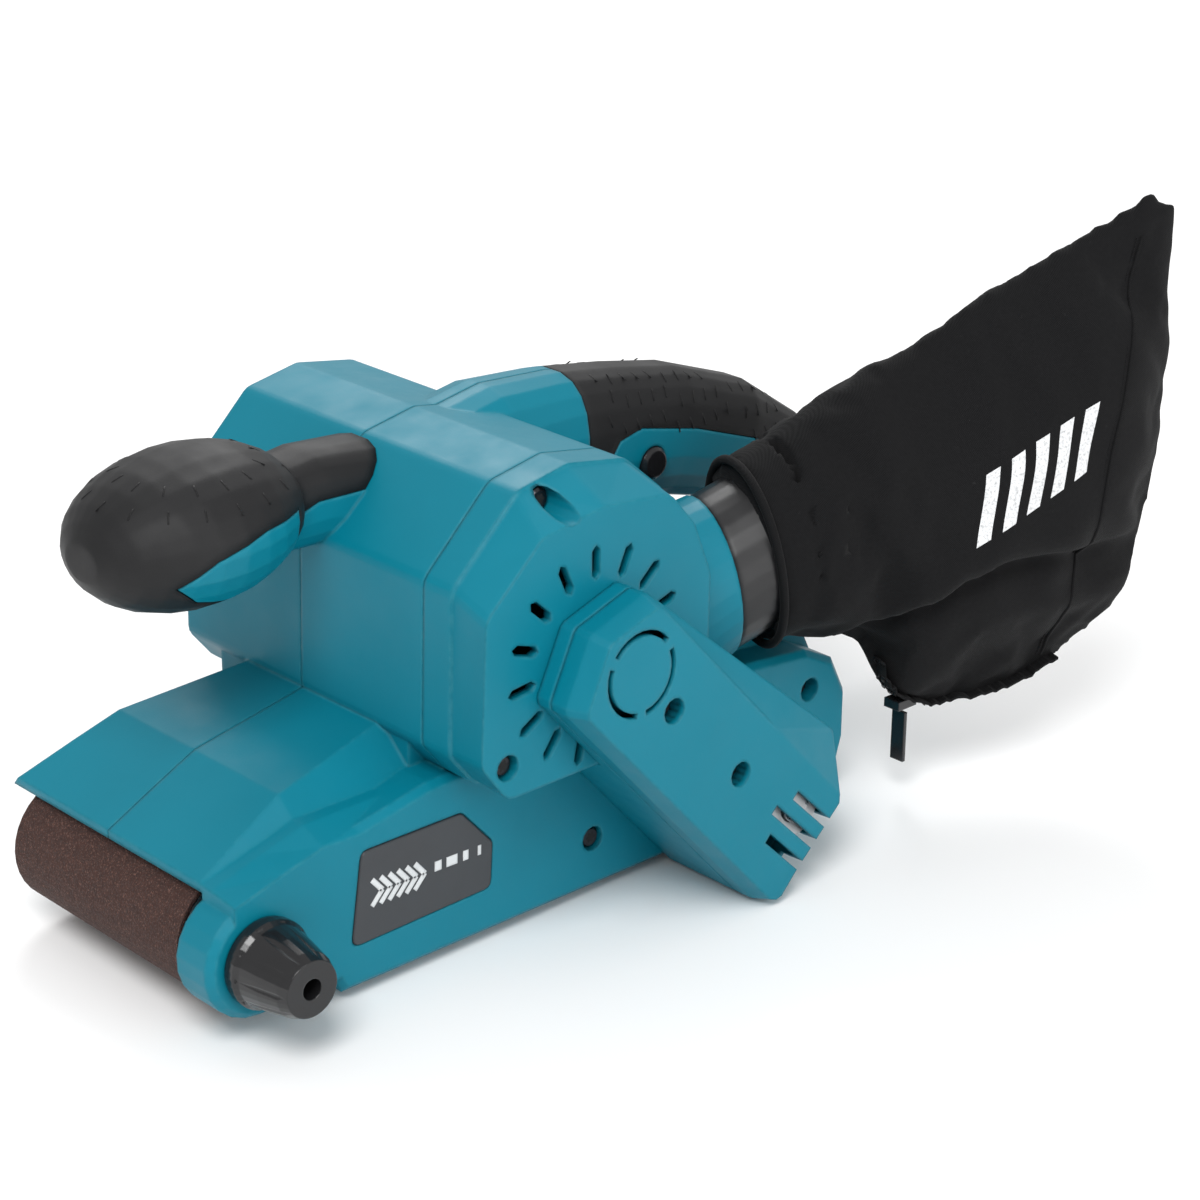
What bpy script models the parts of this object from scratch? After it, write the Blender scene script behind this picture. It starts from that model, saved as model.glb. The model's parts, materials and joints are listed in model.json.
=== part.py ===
"""Handheld belt sander: clamshell housing, transverse motor, toothless ribbed drive belt to the
rear drum, sprung front roller with tracking adjuster, D-handle with switch, and a dust bag.

Frame: +Z up, the sander works towards -X, its left side faces -Y.  The origin is on the flat
sanding face, midway along the platen.  All sizes below are in millimetres; meshes are in metres.
"""

import math

import bmesh
import bpy
from mathutils import Matrix, Vector

MM = 0.001
GAP = 0.3                      # clearance left between pieces that touch

# ---------------------------------------------------------------- driving sizes
BELT_WIDTH = 76.0
BELT_LENGTH = 457.0            # length along the middle of the cloth
BELT_THICKNESS = 1.0

IDLER_RADIUS_OUT = 19.0        # outside of the belt round the front roller
IDLER_CENTRE = (-81.0, 23.0)   # x, z of the front roller: its belt rides 4 mm above the work
IDLER_SLACK = 1.0              # room for the roller to steer inside the belt
DRUM_RADIUS_OUT = 27.0         # outside of the belt round the drive drum
PLATEN_HALF = 57.0             # half length of the flat platen
DRUM_SLEEVE = 3.0              # rubber on the drive drum
DRUM_SHAFT_RADIUS = 5.0
IDLER_AXLE_RADIUS = 4.0

WALL_Y = -BELT_WIDTH / 2.0 - 18.0          # outer face of the left casing wall
CASING_INNER_Y = -BELT_WIDTH / 2.0 - 4.0   # face of the casing beside the belt
CASING_BOTTOM = 2.6
NOSE_CENTRE = (-86.0, 23.4)    # rounded front end of the left casing, also the tracking knob
NOSE_RADIUS = 17.0
CASING_REAR_X = 137.0
HOOD_RIGHT_Y = BELT_WIDTH / 2.0 + 8.0
LIP_X = -94.0
TUNNEL_GAP = 2.6               # air between the belt and the housing round it

MOTOR_CENTRE = (11.3, 88.0)
BARREL_LEFT_Y = WALL_Y + 4.0
BARREL_RIGHT_Y = HOOD_RIGHT_Y + 11.0
BARREL_WALL = 3.5
MOTOR_BAY_RADIUS = 33.0
END_COVER_DEPTH = 25.6
END_STEP_DEPTH = 11.0          # straight rim before the end cover steps in
VENT_COUNT = 15
VENT_OUTER = 31.3
VENT_INNER = 21.5
VENT_WIDTH = 3.0

COVER_SPLIT_Y = WALL_Y - 27.0          # joint between the belt guard's base and its cover
COVER_FACE_Y = WALL_Y - 39.5
COVER_WALL = 2.0
GUARD_TURN = -1.1              # degrees that the guard dips below the line between its shafts
END_WALL = 3.0
GUARD_FLOOR_Y = WALL_Y - 24.5          # inner face of the belt guard's floor
GUARD_POST_Y = WALL_Y - 30.2           # where the screw posts meet the cover's bosses
PULLEY_Y = WALL_Y - 31.6               # middle of both pulleys
SHAFT_END_Y = WALL_Y - 36.3
PULLEY_MOTOR_RADIUS = 6.5
PULLEY_DRUM_RADIUS = 9.3
DRIVE_BELT_WIDTH = 5.0
DRIVE_BELT_THICKNESS = 1.6

HANDLE_HALF_WIDTH = 17.0
RUBBER = 2.4                   # thickness of the soft grips

PORT_CENTRE = (84.0, WALL_Y + 9.0, 82.0)
PORT_RADIUS = 24.0
PORT_FLARE = 5.0               # how much wider the port is where it leaves the housing
PORT_LENGTH = 44.0
PORT_BORE = 20.5
PORT_SWING = 20.0              # degrees to the left of straight back
PORT_RISE = 23.0               # degrees up
RIM_RISE = 7.0                 # the port's end plane leans less than its pipe
COLLAR_RADIUS = 23.2
COLLAR_SHOWN = 12.0
COLLAR_HIDDEN = 14.0
BAG_CLOTH = 2.0
ZIP_TAPE = 1.4
SLIDER_ALONG = 66.0            # distance of the zip's slider behind the port
SLIDER_HEIGHT = 3.0
SLIDER_HALF = 4.0
PULL_LENGTH = 18.0

DRUM_BEARING_RADIUS = 13.0
DRUM_HALF = BELT_WIDTH / 2.0 - 1.0               # half length of both rollers
ADJUSTER_RADIUS = 3.5
TRIGGER_X = (74.0, 100.0)
TRIGGER_PIVOT = (77.5, 95.0)
TRIGGER_HALF = 7.0
SWITCH_ROOM = ((68.0, -11.0, 96.0), (106.0, 11.0, 126.0))
LOCK_CENTRE = (91.7, 106.5)
LOCK_RADIUS = 5.0
GLAND_Z = 74.0
GLAND_RADIUS = 7.0

SCREW_HEAD = 3.2               # radius
SCREW_HEAD_DEPTH = 2.0
SCREW_SHANK = 1.7
COVER_BOSS_RADIUS = SCREW_HEAD + 0.8
# Each side and end screw: (x, z), y of the head.
SIDE_SCREWS = (((31.0, 18.5), WALL_Y + 1.0), ((120.0, 38.0), WALL_Y + 4.0))
END_SCREWS = (((-20.0, 64.5), BARREL_LEFT_Y - 23.5), ((3.0, 130.5), BARREL_LEFT_Y - 12.5))
COVER_SCREWS = ((18.7, -1.7), (56.5, -2.8))                      # along, across the guard
COVER_SCREW_Y = WALL_Y - 35.2
SIDE_SCREW_LENGTH = 10.0
COVER_SCREW_LENGTH = 9.5
END_SCREW_BITE = 8.0           # thread length inside the barrel

MOTOR_SHAFT_RADIUS = 4.0
ARMATURE_RADIUS = 17.8
STATOR_BORE = 18.5
COMMUTATOR_RADIUS = 11.0
LEFT_BEARING_RADIUS = 11.0
LEFT_BEARING_Y = (BARREL_LEFT_Y - 22.3, BARREL_LEFT_Y - 15.3)
RIGHT_BEARING_RADIUS = 9.5
RIGHT_BEARING_Y = (BARREL_RIGHT_Y - 11.2, BARREL_RIGHT_Y - 5.2)
FAN_RADIUS = 29.5
BRUSH_Y = 26.0

FRAME_REAR_X = 44.0
FRAME_LEFT_Y = CASING_INNER_Y + GAP
FRAME_RIGHT_Y = BELT_WIDTH / 2.0 - 3.0
FRAME_FLOOR_Z = 4.6
YOKE_PIVOT_X = -59.5
FORK_DEPTH = 6.0                # from the yoke's pin to the back of the carriage's fork
CARRIAGE_TRAVEL = 5.0
FRAME_FRONT_X = YOKE_PIVOT_X + FORK_DEPTH + CARRIAGE_TRAVEL + 0.5
YOKE_Z = (18.0, 29.0)
YOKE_ARM_Y = (BELT_WIDTH / 2.0 + 0.4, BELT_WIDTH / 2.0 + 2.4)
STEM_HALF = (4.0, 4.0)         # half width and half height of the carriage's stem
STEM_Z = 23.5
STEM_END_X = -30.0
PIN_RADIUS = 2.5
IDLER_BEARING_RADIUS = 9.5
LEVER_PIVOT = (-44.0, BELT_WIDTH / 2.0 + 0.5)
LEVER_HUB_RADIUS = 4.6

ROUND = 40                     # facets on large round pieces
SMALL_ROUND = 20

TEAL = (0.002, 0.180, 0.255, 1.0)
BLACK = (0.012, 0.012, 0.013, 1.0)
STEEL = (0.56, 0.57, 0.58, 1.0)
ALLOY = (0.62, 0.63, 0.64, 1.0)
COPPER = (0.72, 0.33, 0.16, 1.0)
BRASS = (0.70, 0.50, 0.22, 1.0)
IRON = (0.30, 0.30, 0.31, 1.0)
GRIT = (0.060, 0.022, 0.014, 1.0)
CORK = (0.30, 0.19, 0.10, 1.0)
LABEL_GREY = (0.035, 0.037, 0.040, 1.0)


# ---------------------------------------------------------------- scene and materials
def clear_scene():
    for item in list(bpy.data.objects):
        bpy.data.objects.remove(item, do_unlink=True)


def material(name, colour, roughness, metallic=0.0):
    """A Principled material, made once for each name."""
    found = bpy.data.materials.get(name)
    if found:
        return found
    made = bpy.data.materials.new(name)
    made.use_nodes = True
    shader = made.node_tree.nodes["Principled BSDF"]
    shader.inputs["Base Color"].default_value = colour
    shader.inputs["Roughness"].default_value = roughness
    shader.inputs["Metallic"].default_value = metallic
    made.diffuse_color = colour
    return made


def add_empty(name, place, parent=None):
    """An empty that carries an assembly or marks a joint's axis."""
    holder = bpy.data.objects.new(name, None)
    bpy.context.collection.objects.link(holder)
    holder.empty_display_size = 0.01
    holder.location = Vector(place) * MM
    if parent:
        holder.parent = parent
        holder.matrix_parent_inverse = Matrix.Translation(-parent.matrix_world.translation)
    bpy.context.view_layer.update()
    return holder


# ---------------------------------------------------------------- mesh tools (millimetres in)
def mesh_object(name, vertices, faces):
    """A mesh object from points in millimetres, its faces turned outwards."""
    mesh = bpy.data.meshes.new(name)
    form = bmesh.new()
    made = [form.verts.new(p) for p in vertices]
    for face in faces:
        form.faces.new([made[i] for i in face])
    bent = [face for face in form.faces if len(face.verts) == 4]
    bmesh.ops.triangulate(form, faces=bent)
    bmesh.ops.recalc_face_normals(form, faces=form.faces)
    form.to_mesh(mesh)
    form.free()
    item = bpy.data.objects.new(name, mesh)
    bpy.context.collection.objects.link(item)
    return item


def loft(name, sections):
    """A closed solid through rings that all have the same number of points."""
    count = len(sections[0])
    points = [p for ring in sections for p in ring]
    faces = []
    for level in range(len(sections) - 1):
        low = level * count
        high = low + count
        for i in range(count):
            j = (i + 1) % count
            faces.append((low + i, low + j, high + j, high + i))
    faces.append(tuple(range(count)))
    faces.append(tuple(range(len(points) - count, len(points))))
    return mesh_object(name, points, faces)


def prism(name, outline, y_from, y_to):
    """An outline of (x, z) points carried along Y."""
    return loft(name, [[(x, y, z) for x, z in outline] for y in (y_from, y_to)])


def tapered(name, outline, levels):
    """An outline of (x, z) points with an inset at each level (y, inset)."""
    return loft(name, [[(x, y, z) for x, z in offset(outline, -inset)] for y, inset in levels])


def turned(name, profile, centre=(0.0, 0.0), facets=ROUND, closed=False):
    """A solid turned about an axis along Y; the profile holds (radius, y) points.

    An open profile starts and ends on the axis, a closed one is a ring's section.
    """
    points = []
    rings = []
    for radius, y in profile:
        if radius <= 0.0:
            rings.append([len(points)])
            points.append((centre[0], y, centre[1]))
            continue
        rings.append(list(range(len(points), len(points) + facets)))
        for k in range(facets):
            angle = 2.0 * math.pi * k / facets
            points.append((centre[0] + radius * math.cos(angle), y,
                           centre[1] + radius * math.sin(angle)))
    pairs = list(zip(rings, rings[1:]))
    if closed:
        pairs.append((rings[-1], rings[0]))
    faces = []
    for one, two in pairs:
        for k in range(facets):
            n = (k + 1) % facets
            if len(one) == 1 and len(two) == 1:
                break
            if len(one) == 1:
                faces.append((one[0], two[n], two[k]))
            elif len(two) == 1:
                faces.append((one[k], one[n], two[0]))
            else:
                faces.append((one[k], one[n], two[n], two[k]))
    return mesh_object(name, points, faces)


def rod(name, radius, y_from, y_to, centre, facets=SMALL_ROUND):
    return turned(name, [(0.0, y_from), (radius, y_from), (radius, y_to), (0.0, y_to)],
                  centre, facets)


def ring(name, outer, inner, y_from, y_to, centre, facets=ROUND):
    return turned(name, [(inner, y_from), (outer, y_from), (outer, y_to), (inner, y_to)],
                  centre, facets, closed=True)


def box(name, low, high):
    (x0, y0, z0), (x1, y1, z1) = low, high
    return prism(name, [(x0, z0), (x1, z0), (x1, z1), (x0, z1)], y0, y1)


def pipe(name, start, end, radius, facets=SMALL_ROUND, end_radius=None):
    """A straight round bar, or a cone, between two points in any direction."""
    start, end = Vector(start), Vector(end)
    way = (end - start).normalized()
    side = way.orthogonal().normalized()
    up = way.cross(side)
    rings = []
    for centre, size in ((start, radius), (end, end_radius or radius)):
        rings.append([centre + side * size * math.cos(2 * math.pi * k / facets)
                      + up * size * math.sin(2 * math.pi * k / facets) for k in range(facets)])
    return loft(name, rings)


def volume_if_closed(mesh):
    """The mesh's volume, or None where it has an open edge."""
    form = bmesh.new()
    form.from_mesh(mesh)
    closed = all(len(edge.link_faces) == 2 for edge in form.edges)
    volume = form.calc_volume() if closed else None
    form.free()
    return volume


def volume_fits(operation, result, target, tool):
    """Whether a Boolean's volume lies where its two solids allow."""
    slack = 1e-4 * (target + tool)
    if result is None or result <= 0.0:
        return False
    if operation == "UNION":
        return max(target, tool) - slack <= result <= target + tool + slack
    if operation == "DIFFERENCE":
        return target - tool - slack <= result <= target + slack
    return result <= min(target, tool) + slack


def apply_boolean(target, tool, operation):
    """Joins, cuts or crosses the target with the tool, and removes the tool.

    The exact solver comes first; the manifold one takes over where it leaves an open edge.
    """
    step = target.modifiers.new(operation, "BOOLEAN")
    step.operation = operation
    step.object = tool
    sizes = (volume_if_closed(target.data), volume_if_closed(tool.data))
    for solver in ("EXACT", "MANIFOLD"):
        step.solver = solver
        bpy.context.view_layer.update()
        graph = bpy.context.evaluated_depsgraph_get()
        result = bpy.data.meshes.new_from_object(target.evaluated_get(graph))
        if volume_fits(operation, volume_if_closed(result), *sizes):
            break
    target.modifiers.clear()
    target.data = result
    bpy.data.objects.remove(tool, do_unlink=True)
    return target


def cut(target, *tools):
    for tool in tools:
        apply_boolean(target, tool, "DIFFERENCE")
    return target


def join(target, *tools):
    for tool in tools:
        apply_boolean(target, tool, "UNION")
    return target


def keep_inside(target, tool):
    return apply_boolean(target, tool, "INTERSECT")


def gather(name, items):
    """Puts tools that stay clear of each other into one object, to cut them all at once."""
    form = bmesh.new()
    for item in items:
        form.from_mesh(item.data)
        bpy.data.objects.remove(item, do_unlink=True)
    mesh = bpy.data.meshes.new(name)
    form.to_mesh(mesh)
    form.free()
    made = bpy.data.objects.new(name, mesh)
    bpy.context.collection.objects.link(made)
    return made


def copy_of(item, name):
    twin = bpy.data.objects.new(name, item.data.copy())
    bpy.context.collection.objects.link(twin)
    return twin


def finish(item, name, look, holder, smooth_angle=30.0):
    """Names the node, gives it its material, and puts its origin on its holder's place."""
    centre = holder.matrix_world.translation
    item.name = name
    item.data.name = name
    form = bmesh.new()
    form.from_mesh(item.data)
    bmesh.ops.remove_doubles(form, verts=form.verts, dist=0.005)
    bmesh.ops.dissolve_degenerate(form, edges=form.edges, dist=0.005)
    bmesh.ops.scale(form, verts=form.verts, vec=(MM, MM, MM))
    bmesh.ops.translate(form, verts=form.verts, vec=-centre)
    form.to_mesh(item.data)
    form.free()
    item.data.materials.clear()
    item.data.materials.append(look)
    item.data.shade_smooth()
    item.data.set_sharp_from_angle(angle=math.radians(smooth_angle))
    item.parent = holder
    return item


# ---------------------------------------------------------------- outlines (x, z)
def arc(centre, radius, start, end, steps):
    """Points on a circle from one angle to another, in degrees, both ends included."""
    points = []
    for k in range(steps + 1):
        angle = math.radians(start + (end - start) * k / steps)
        points.append((centre[0] + radius * math.cos(angle),
                       centre[1] + radius * math.sin(angle)))
    return points


def circle(centre, radius, steps):
    return arc(centre, radius, 0.0, 360.0 * (steps - 1) / steps, steps - 1)


def offset(outline, distance):
    """A counter-clockwise outline with each side moved out (or in, if negative)."""
    if distance == 0.0:
        return list(outline)
    moved = []
    count = len(outline)
    for i in range(count):
        before = Vector(outline[i - 1])
        here = Vector(outline[i])
        after = Vector(outline[(i + 1) % count])
        first = (here - before).normalized()
        second = (after - here).normalized()
        normal = Vector((first.y, -first.x)) + Vector((second.y, -second.x))
        normal.normalize()
        spread = max(0.35, normal.dot(Vector((first.y, -first.x))))
        moved.append(tuple(here + normal * (distance / spread)))
    return moved


def rounded(outline, radius, steps=3):
    """The outline with each corner replaced by an arc that touches both its sides."""
    points = []
    count = len(outline)
    for i in range(count):
        here = Vector(outline[i])
        back = Vector(outline[i - 1]) - here
        onward = Vector(outline[(i + 1) % count]) - here
        half = back.angle(onward) / 2.0
        reach = min(radius / math.tan(half), 0.45 * back.length, 0.45 * onward.length)
        start = here + back.normalized() * reach
        end = here + onward.normalized() * reach
        for k in range(steps + 1):
            t = k / steps
            points.append(tuple(start * (1 - t) ** 2 + here * 2 * t * (1 - t) + end * t ** 2))
    return points


def slot_outline(centre, angle, inner, outer, width, steps=4):
    """A round-ended slot along a ray from the centre."""
    half = width / 2.0
    points = arc((inner + half, 0.0), half, 90.0, 270.0, steps)
    points += arc((outer - half, 0.0), half, -90.0, 90.0, steps)
    turn = math.radians(angle)
    return [(centre[0] + x * math.cos(turn) - z * math.sin(turn),
             centre[1] + x * math.sin(turn) + z * math.cos(turn)) for x, z in points]


# ---------------------------------------------------------------- belt path
def belt_path(inset, drum_x, steps=16):
    """The belt's line, `inset` millimetres inside its outer face, counter-clockwise."""
    front = Vector(IDLER_CENTRE)
    rear = Vector((drum_x, DRUM_RADIUS_OUT))
    r_front = IDLER_RADIUS_OUT - inset
    r_rear = DRUM_RADIUS_OUT - inset
    toe = Vector((-PLATEN_HALF - 1.0, inset))
    across = rear - front
    top = math.degrees(math.atan2(across.y, across.x)
                       + math.acos((r_front - r_rear) / across.length))
    down = toe - front
    low = math.degrees(math.atan2(down.y, down.x) - math.acos(r_front / down.length))
    points = arc(front, r_front, top, low + 360.0, steps)
    points.append(tuple(toe))
    points += arc(rear, r_rear, -90.0, top, steps)
    return points


def path_length(points):
    return sum((Vector(a) - Vector(b)).length for a, b in zip(points, points[1:] + points[:1]))


def solve_drum_x():
    """Where the drive drum sits so that the belt has its stated length."""
    drum_x = 70.0
    for _ in range(30):
        drum_x += (BELT_LENGTH - path_length(belt_path(BELT_THICKNESS / 2, drum_x, 48))) / 2.0
    return drum_x


DRUM_CENTRE = (solve_drum_x(), DRUM_RADIUS_OUT)
DRIVE_SPAN = (Vector(DRUM_CENTRE) - Vector(MOTOR_CENTRE)).length
DRIVE_LEAN = math.atan2(DRUM_CENTRE[1] - MOTOR_CENTRE[1], DRUM_CENTRE[0] - MOTOR_CENTRE[0])
GUARD_ALONG = Vector((math.cos(DRIVE_LEAN + math.radians(GUARD_TURN)),
                      math.sin(DRIVE_LEAN + math.radians(GUARD_TURN))))
GUARD_ACROSS = Vector((-GUARD_ALONG.y, GUARD_ALONG.x))

PIPE_WAY = Vector((math.cos(math.radians(PORT_SWING)) * math.cos(math.radians(PORT_RISE)),
                   -math.sin(math.radians(PORT_SWING)) * math.cos(math.radians(PORT_RISE)),
                   math.sin(math.radians(PORT_RISE))))
RIM_WAY = Vector((math.cos(math.radians(PORT_SWING)) * math.cos(math.radians(RIM_RISE)),
                  -math.sin(math.radians(PORT_SWING)) * math.cos(math.radians(RIM_RISE)),
                  math.sin(math.radians(RIM_RISE))))


def guard_point(along, across):
    """A point of the belt guard, measured from the motor's axis along the guard and across it."""
    place = Vector(MOTOR_CENTRE) + GUARD_ALONG * along + GUARD_ACROSS * across
    return (place.x, place.y)


# ---------------------------------------------------------------- housing
def about_motor(outline):
    """An outline drawn round the motor's axis, moved to its place."""
    return [(MOTOR_CENTRE[0] + x, MOTOR_CENTRE[1] + z) for x, z in outline]


def barrel_outline():
    """The motor barrel: upright front, flat facets over the top, level sole."""
    return about_motor([(-30.3, -34.0), (40.0, -34.0), (46.5, -26.0), (47.0, 10.0), (38.0, 34.0),
                        (24.0, 46.0), (3.0, 49.5), (-15.3, 46.0), (-38.0, 24.0), (-39.3, -23.0)])


def end_face_outline():
    """The flat vented face of the motor's end cover, corner for corner with the barrel."""
    return about_motor([(-31.3, -33.0), (36.0, -32.0), (42.5, -24.0), (43.0, 12.0), (36.5, 28.0),
                        (27.0, 39.0), (2.7, 41.4), (-18.8, 38.0), (-38.5, 20.0), (-40.3, -21.0)])


def casing_outline():
    """The left casing: round nose, notch under the front, level sole, boss at the rear."""
    nose = arc(NOSE_CENTRE, NOSE_RADIUS, 110.0, 270.0, 10)
    notch_x = -PLATEN_HALF - 4.0
    rear = CASING_REAR_X
    sole = [(notch_x, nose[-1][1]), (notch_x + 2.0, CASING_BOTTOM), (rear - 12.0, CASING_BOTTOM)]
    back = [(rear - 3.0, 8.0), (rear, 18.0), (rear, 33.0), (rear - 6.0, 45.0),
            (rear - 18.0, 51.0), (60.0, 57.0), (-28.0, 55.0), (-64.0, 48.0)]
    return nose + sole + back


def hood_section(x, top):
    """The hood across the belt at x: flat top, a step down the left, a slope on the right."""
    share = (x - LIP_X) / (-28.0 - LIP_X)
    ledge = top - 0.3 - 11.0 * share
    ring_points = [(HOOD_RIGHT_Y, 30.0), (HOOD_RIGHT_Y, top - 3.0 - 12.0 * share),
                   (HOOD_RIGHT_Y - 2.5 - 18.5 * share, top), (-41.0 + 8.4 * share, top),
                   (-41.6 - 3.6 * share, ledge), (-46.0 - 3.0 * share, ledge - 0.2),
                   (WALL_Y, ledge - 1.5 - 4.5 * share), (WALL_Y, 30.0)]
    return [(x, y, z) for y, z in ring_points]


def hood_block():
    return loft("hood", [hood_section(LIP_X, 42.6), hood_section(-78.0, 50.8),
                         hood_section(-65.0, 57.2), hood_section(-20.0, 66.2)])


HANDLE_PATH = (                 # x, z, slope in degrees, half height, half width
    (10.0, 110.0, 3.0, 24.0, 19.0), (38.0, 115.0, 0.0, 24.3, 18.5), (62.0, 115.5, -3.0, 22.3, 17.0),
    (85.0, 113.7, -8.0, 20.6, 16.5), (107.0, 110.0, -13.0, 20.0, 16.5),
    (134.0, 101.5, -22.0, 19.0, 16.5), (155.0, 90.0, -37.0, 16.5, 16.0),
    (166.0, 77.0, -62.0, 13.5, 15.0), (167.0, 64.0, -95.0, 12.0, 14.5),
    (158.0, 52.0, -125.0, 13.0, 14.5), (138.0, 39.0, -145.0, 15.0, 14.5))


def swept(name, path, shrink=0.0, facets=20, power=2.6):
    """A solid along a path in the XZ plane with rounded-rectangle sections."""
    sections = []
    for x, z, slope, half_height, half_width in path:
        lean = math.radians(slope)
        up = Vector((-math.sin(lean), 0.0, math.cos(lean)))
        section = []
        for k in range(facets):
            angle = 2.0 * math.pi * (k + 0.5) / facets
            c, s = math.cos(angle), math.sin(angle)
            wide = math.copysign(abs(c) ** (2.0 / power), c) * (half_width - shrink)
            high = math.copysign(abs(s) ** (2.0 / power), s) * (half_height - shrink)
            section.append(Vector((x, wide, z)) + up * high)
        sections.append(section)
    return loft(name, sections)


KNOB_CENTRE = (-65.0, 0.0, 122.5)
KNOB_HALF = (33.0, 29.0, 20.5)
NECK_PATH = ((-72.0, 117.0, 4.0, 10.0, 10.0), (-45.0, 120.5, 4.0, 12.0, 12.5),
             (-26.0, 121.5, 0.0, 13.5, 13.5), (0.0, 117.0, -10.0, 16.0, 15.5),
             (14.0, 112.0, -10.0, 16.0, 15.5))


def egg(name, centre, half, shrink=0.0, rings=14, facets=24):
    """A rounded hand knob, fuller than an ellipsoid and lower at the front."""
    sections = []
    size = Vector(half) - Vector((shrink, shrink, shrink))
    for i in range(1, rings):
        turn = math.pi * i / rings
        x = -math.cos(turn)
        across = math.sin(turn) ** 0.92
        section = []
        for k in range(facets):
            angle = 2.0 * math.pi * k / facets
            y = math.cos(angle) * across
            z = math.sin(angle) * across
            section.append((centre[0] + x * size.x, centre[1] + y * size.y,
                            centre[2] + z * size.z + 2.5 * x))
        sections.append(section)
    return loft(name, sections)


def handle_rubber_region():
    """Side view of the soft grip on the rear handle: a band at the front, then the top."""
    return [(66.0, 70.0), (73.0, 70.0), (74.0, 111.0), (78.0, 116.5), (87.0, 118.5), (110.0, 113.2),
            (136.0, 104.0), (152.0, 94.0), (163.0, 81.0), (170.0, 70.0), (196.0, 70.0),
            (196.0, 160.0), (66.0, 160.0)]


def knob_patch_region():
    """Side view of the hard plastic that shows through the front grip, on both sides."""
    return [(-84.0, 116.0), (-77.0, 110.0), (-64.0, 106.5), (-52.0, 109.0), (-44.0, 116.0),
            (-43.0, 127.5), (-58.0, 127.0), (-74.0, 122.5)]


def knob_full(shrink, name="knob_full"):
    body = egg(name, KNOB_CENTRE, KNOB_HALF, shrink)
    return join(body, swept(name + "_neck", NECK_PATH, shrink))


def neck_below(extra):
    """Everything under the soft strip on top of the neck, behind the knob."""
    return prism("neck_below", [(-46.0, 60.0), (40.0, 60.0), (40.0, 112.0), (-10.0, 124.0 + extra),
                                (-30.0, 124.0 + extra), (-46.0, 118.0 + extra)], -60.0, 60.0)


def barrel_solid(name, grow=0.0, left=BARREL_LEFT_Y, right=BARREL_RIGHT_Y):
    outline = rounded(offset(barrel_outline(), grow), 5.0, 2)
    return tapered(name, outline, [(left, 0.0), (right - 4.0, 0.0), (right, 4.0)])


def build_front_grip(look, holder):
    rubber = knob_full(0.0, "rubber")
    cut(rubber, knob_full(RUBBER, "knob_inner"), neck_below(0.0))
    cut(rubber, prism("patch", knob_patch_region(), -60.0, 60.0))
    cut(rubber, barrel_solid("barrel_room", GAP))
    return finish(rubber, "front_grip", look, holder, 50.0)


def build_rear_grip(look, holder):
    rubber = swept("rubber", HANDLE_PATH)
    cut(rubber, swept("inner", HANDLE_PATH, RUBBER))
    keep_inside(rubber, prism("region", handle_rubber_region(), -60.0, 60.0))
    cut(rubber, gland_room())
    return finish(rubber, "rear_grip", look, holder, 50.0)


def handle_core():
    """The rear handle with the soft grip's room taken off it."""
    solid = swept("handle", HANDLE_PATH)
    skin = swept("skin", HANDLE_PATH, -2.0)
    cut(skin, swept("under_skin", HANDLE_PATH, RUBBER + GAP))
    keep_inside(skin, prism("region", offset(handle_rubber_region(), GAP), -70.0, 70.0))
    return cut(solid, skin)


def knob_core():
    """The hard middle of the front knob, flush with the grip where it shows."""
    core = knob_full(RUBBER + GAP, "core")
    patch = knob_full(0.0, "patch_full")
    keep_inside(patch, prism("patch", offset(knob_patch_region(), -GAP), -70.0, 70.0))
    under = swept("neck_low", NECK_PATH)
    keep_inside(under, neck_below(-GAP))
    return join(core, patch, under)


def dust_pipe(name, radius, start, end, facets=32):
    """A sheared round bar along the dust pipe; its ends lie parallel to the port's rim."""
    side = Vector((0.0, 0.0, 1.0)).cross(RIM_WAY).normalized()
    up = RIM_WAY.cross(side)
    rings = []
    for step, size in ((start, radius[0]), (end, radius[1])):
        centre = Vector(PORT_CENTRE) + PIPE_WAY * step
        rings.append([centre + side * size * math.cos(2 * math.pi * k / facets)
                      + up * size * math.sin(2 * math.pi * k / facets) for k in range(facets)])
    return loft(name, rings)


def chute_block():
    """The dust chute behind the drive drum, across the machine."""
    rear = CASING_REAR_X
    outline = [(rear - 40.0, 60.0), (rear - 40.0, 34.0), (rear - 30.0, 8.0), (rear - 8.0, 5.0),
               (rear, 16.0), (rear, 36.0), (rear - 8.0, 52.0), (rear - 24.0, 62.0)]
    return prism("chute", outline, CASING_INNER_Y - 1.0, 36.0)


def roof_block():
    """The deck between the barrel and the chute, over the drive drum."""
    return prism("roof", [(-26.0, 50.0), (CASING_REAR_X - 20.0, 50.0), (CASING_REAR_X - 20.0, 60.0),
                          (70.0, 63.0), (-26.0, 63.0)], CASING_INNER_Y - 2.0, HOOD_RIGHT_Y - 6.0)


def belt_tunnel():
    """The room round the belt, open to the right so that belts can be changed."""
    return prism("tunnel", belt_path(-TUNNEL_GAP, DRUM_CENTRE[0]), CASING_INNER_Y, 90.0)


def housing_outer():
    shell = tapered("shell", casing_outline(), [(WALL_Y, 2.0), (WALL_Y + 2.0, 0.0),
                                                (CASING_INNER_Y, 0.0)])
    join(shell, hood_block(), roof_block(), barrel_solid("barrel"), chute_block())
    join(shell, dust_pipe("port", (PORT_RADIUS + PORT_FLARE, PORT_RADIUS), -PORT_LENGTH, 0.0))
    cut(shell, end_cover_form("cover_room", GAP, BARREL_LEFT_Y,
                              BARREL_LEFT_Y - END_COVER_DEPTH - 5.0))
    room = COLLAR_RADIUS + 1.2
    cut(shell, dust_pipe("collar_room", (room, room), 0.0, 45.0))
    join(shell, handle_core(), knob_core())
    return shell


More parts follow.
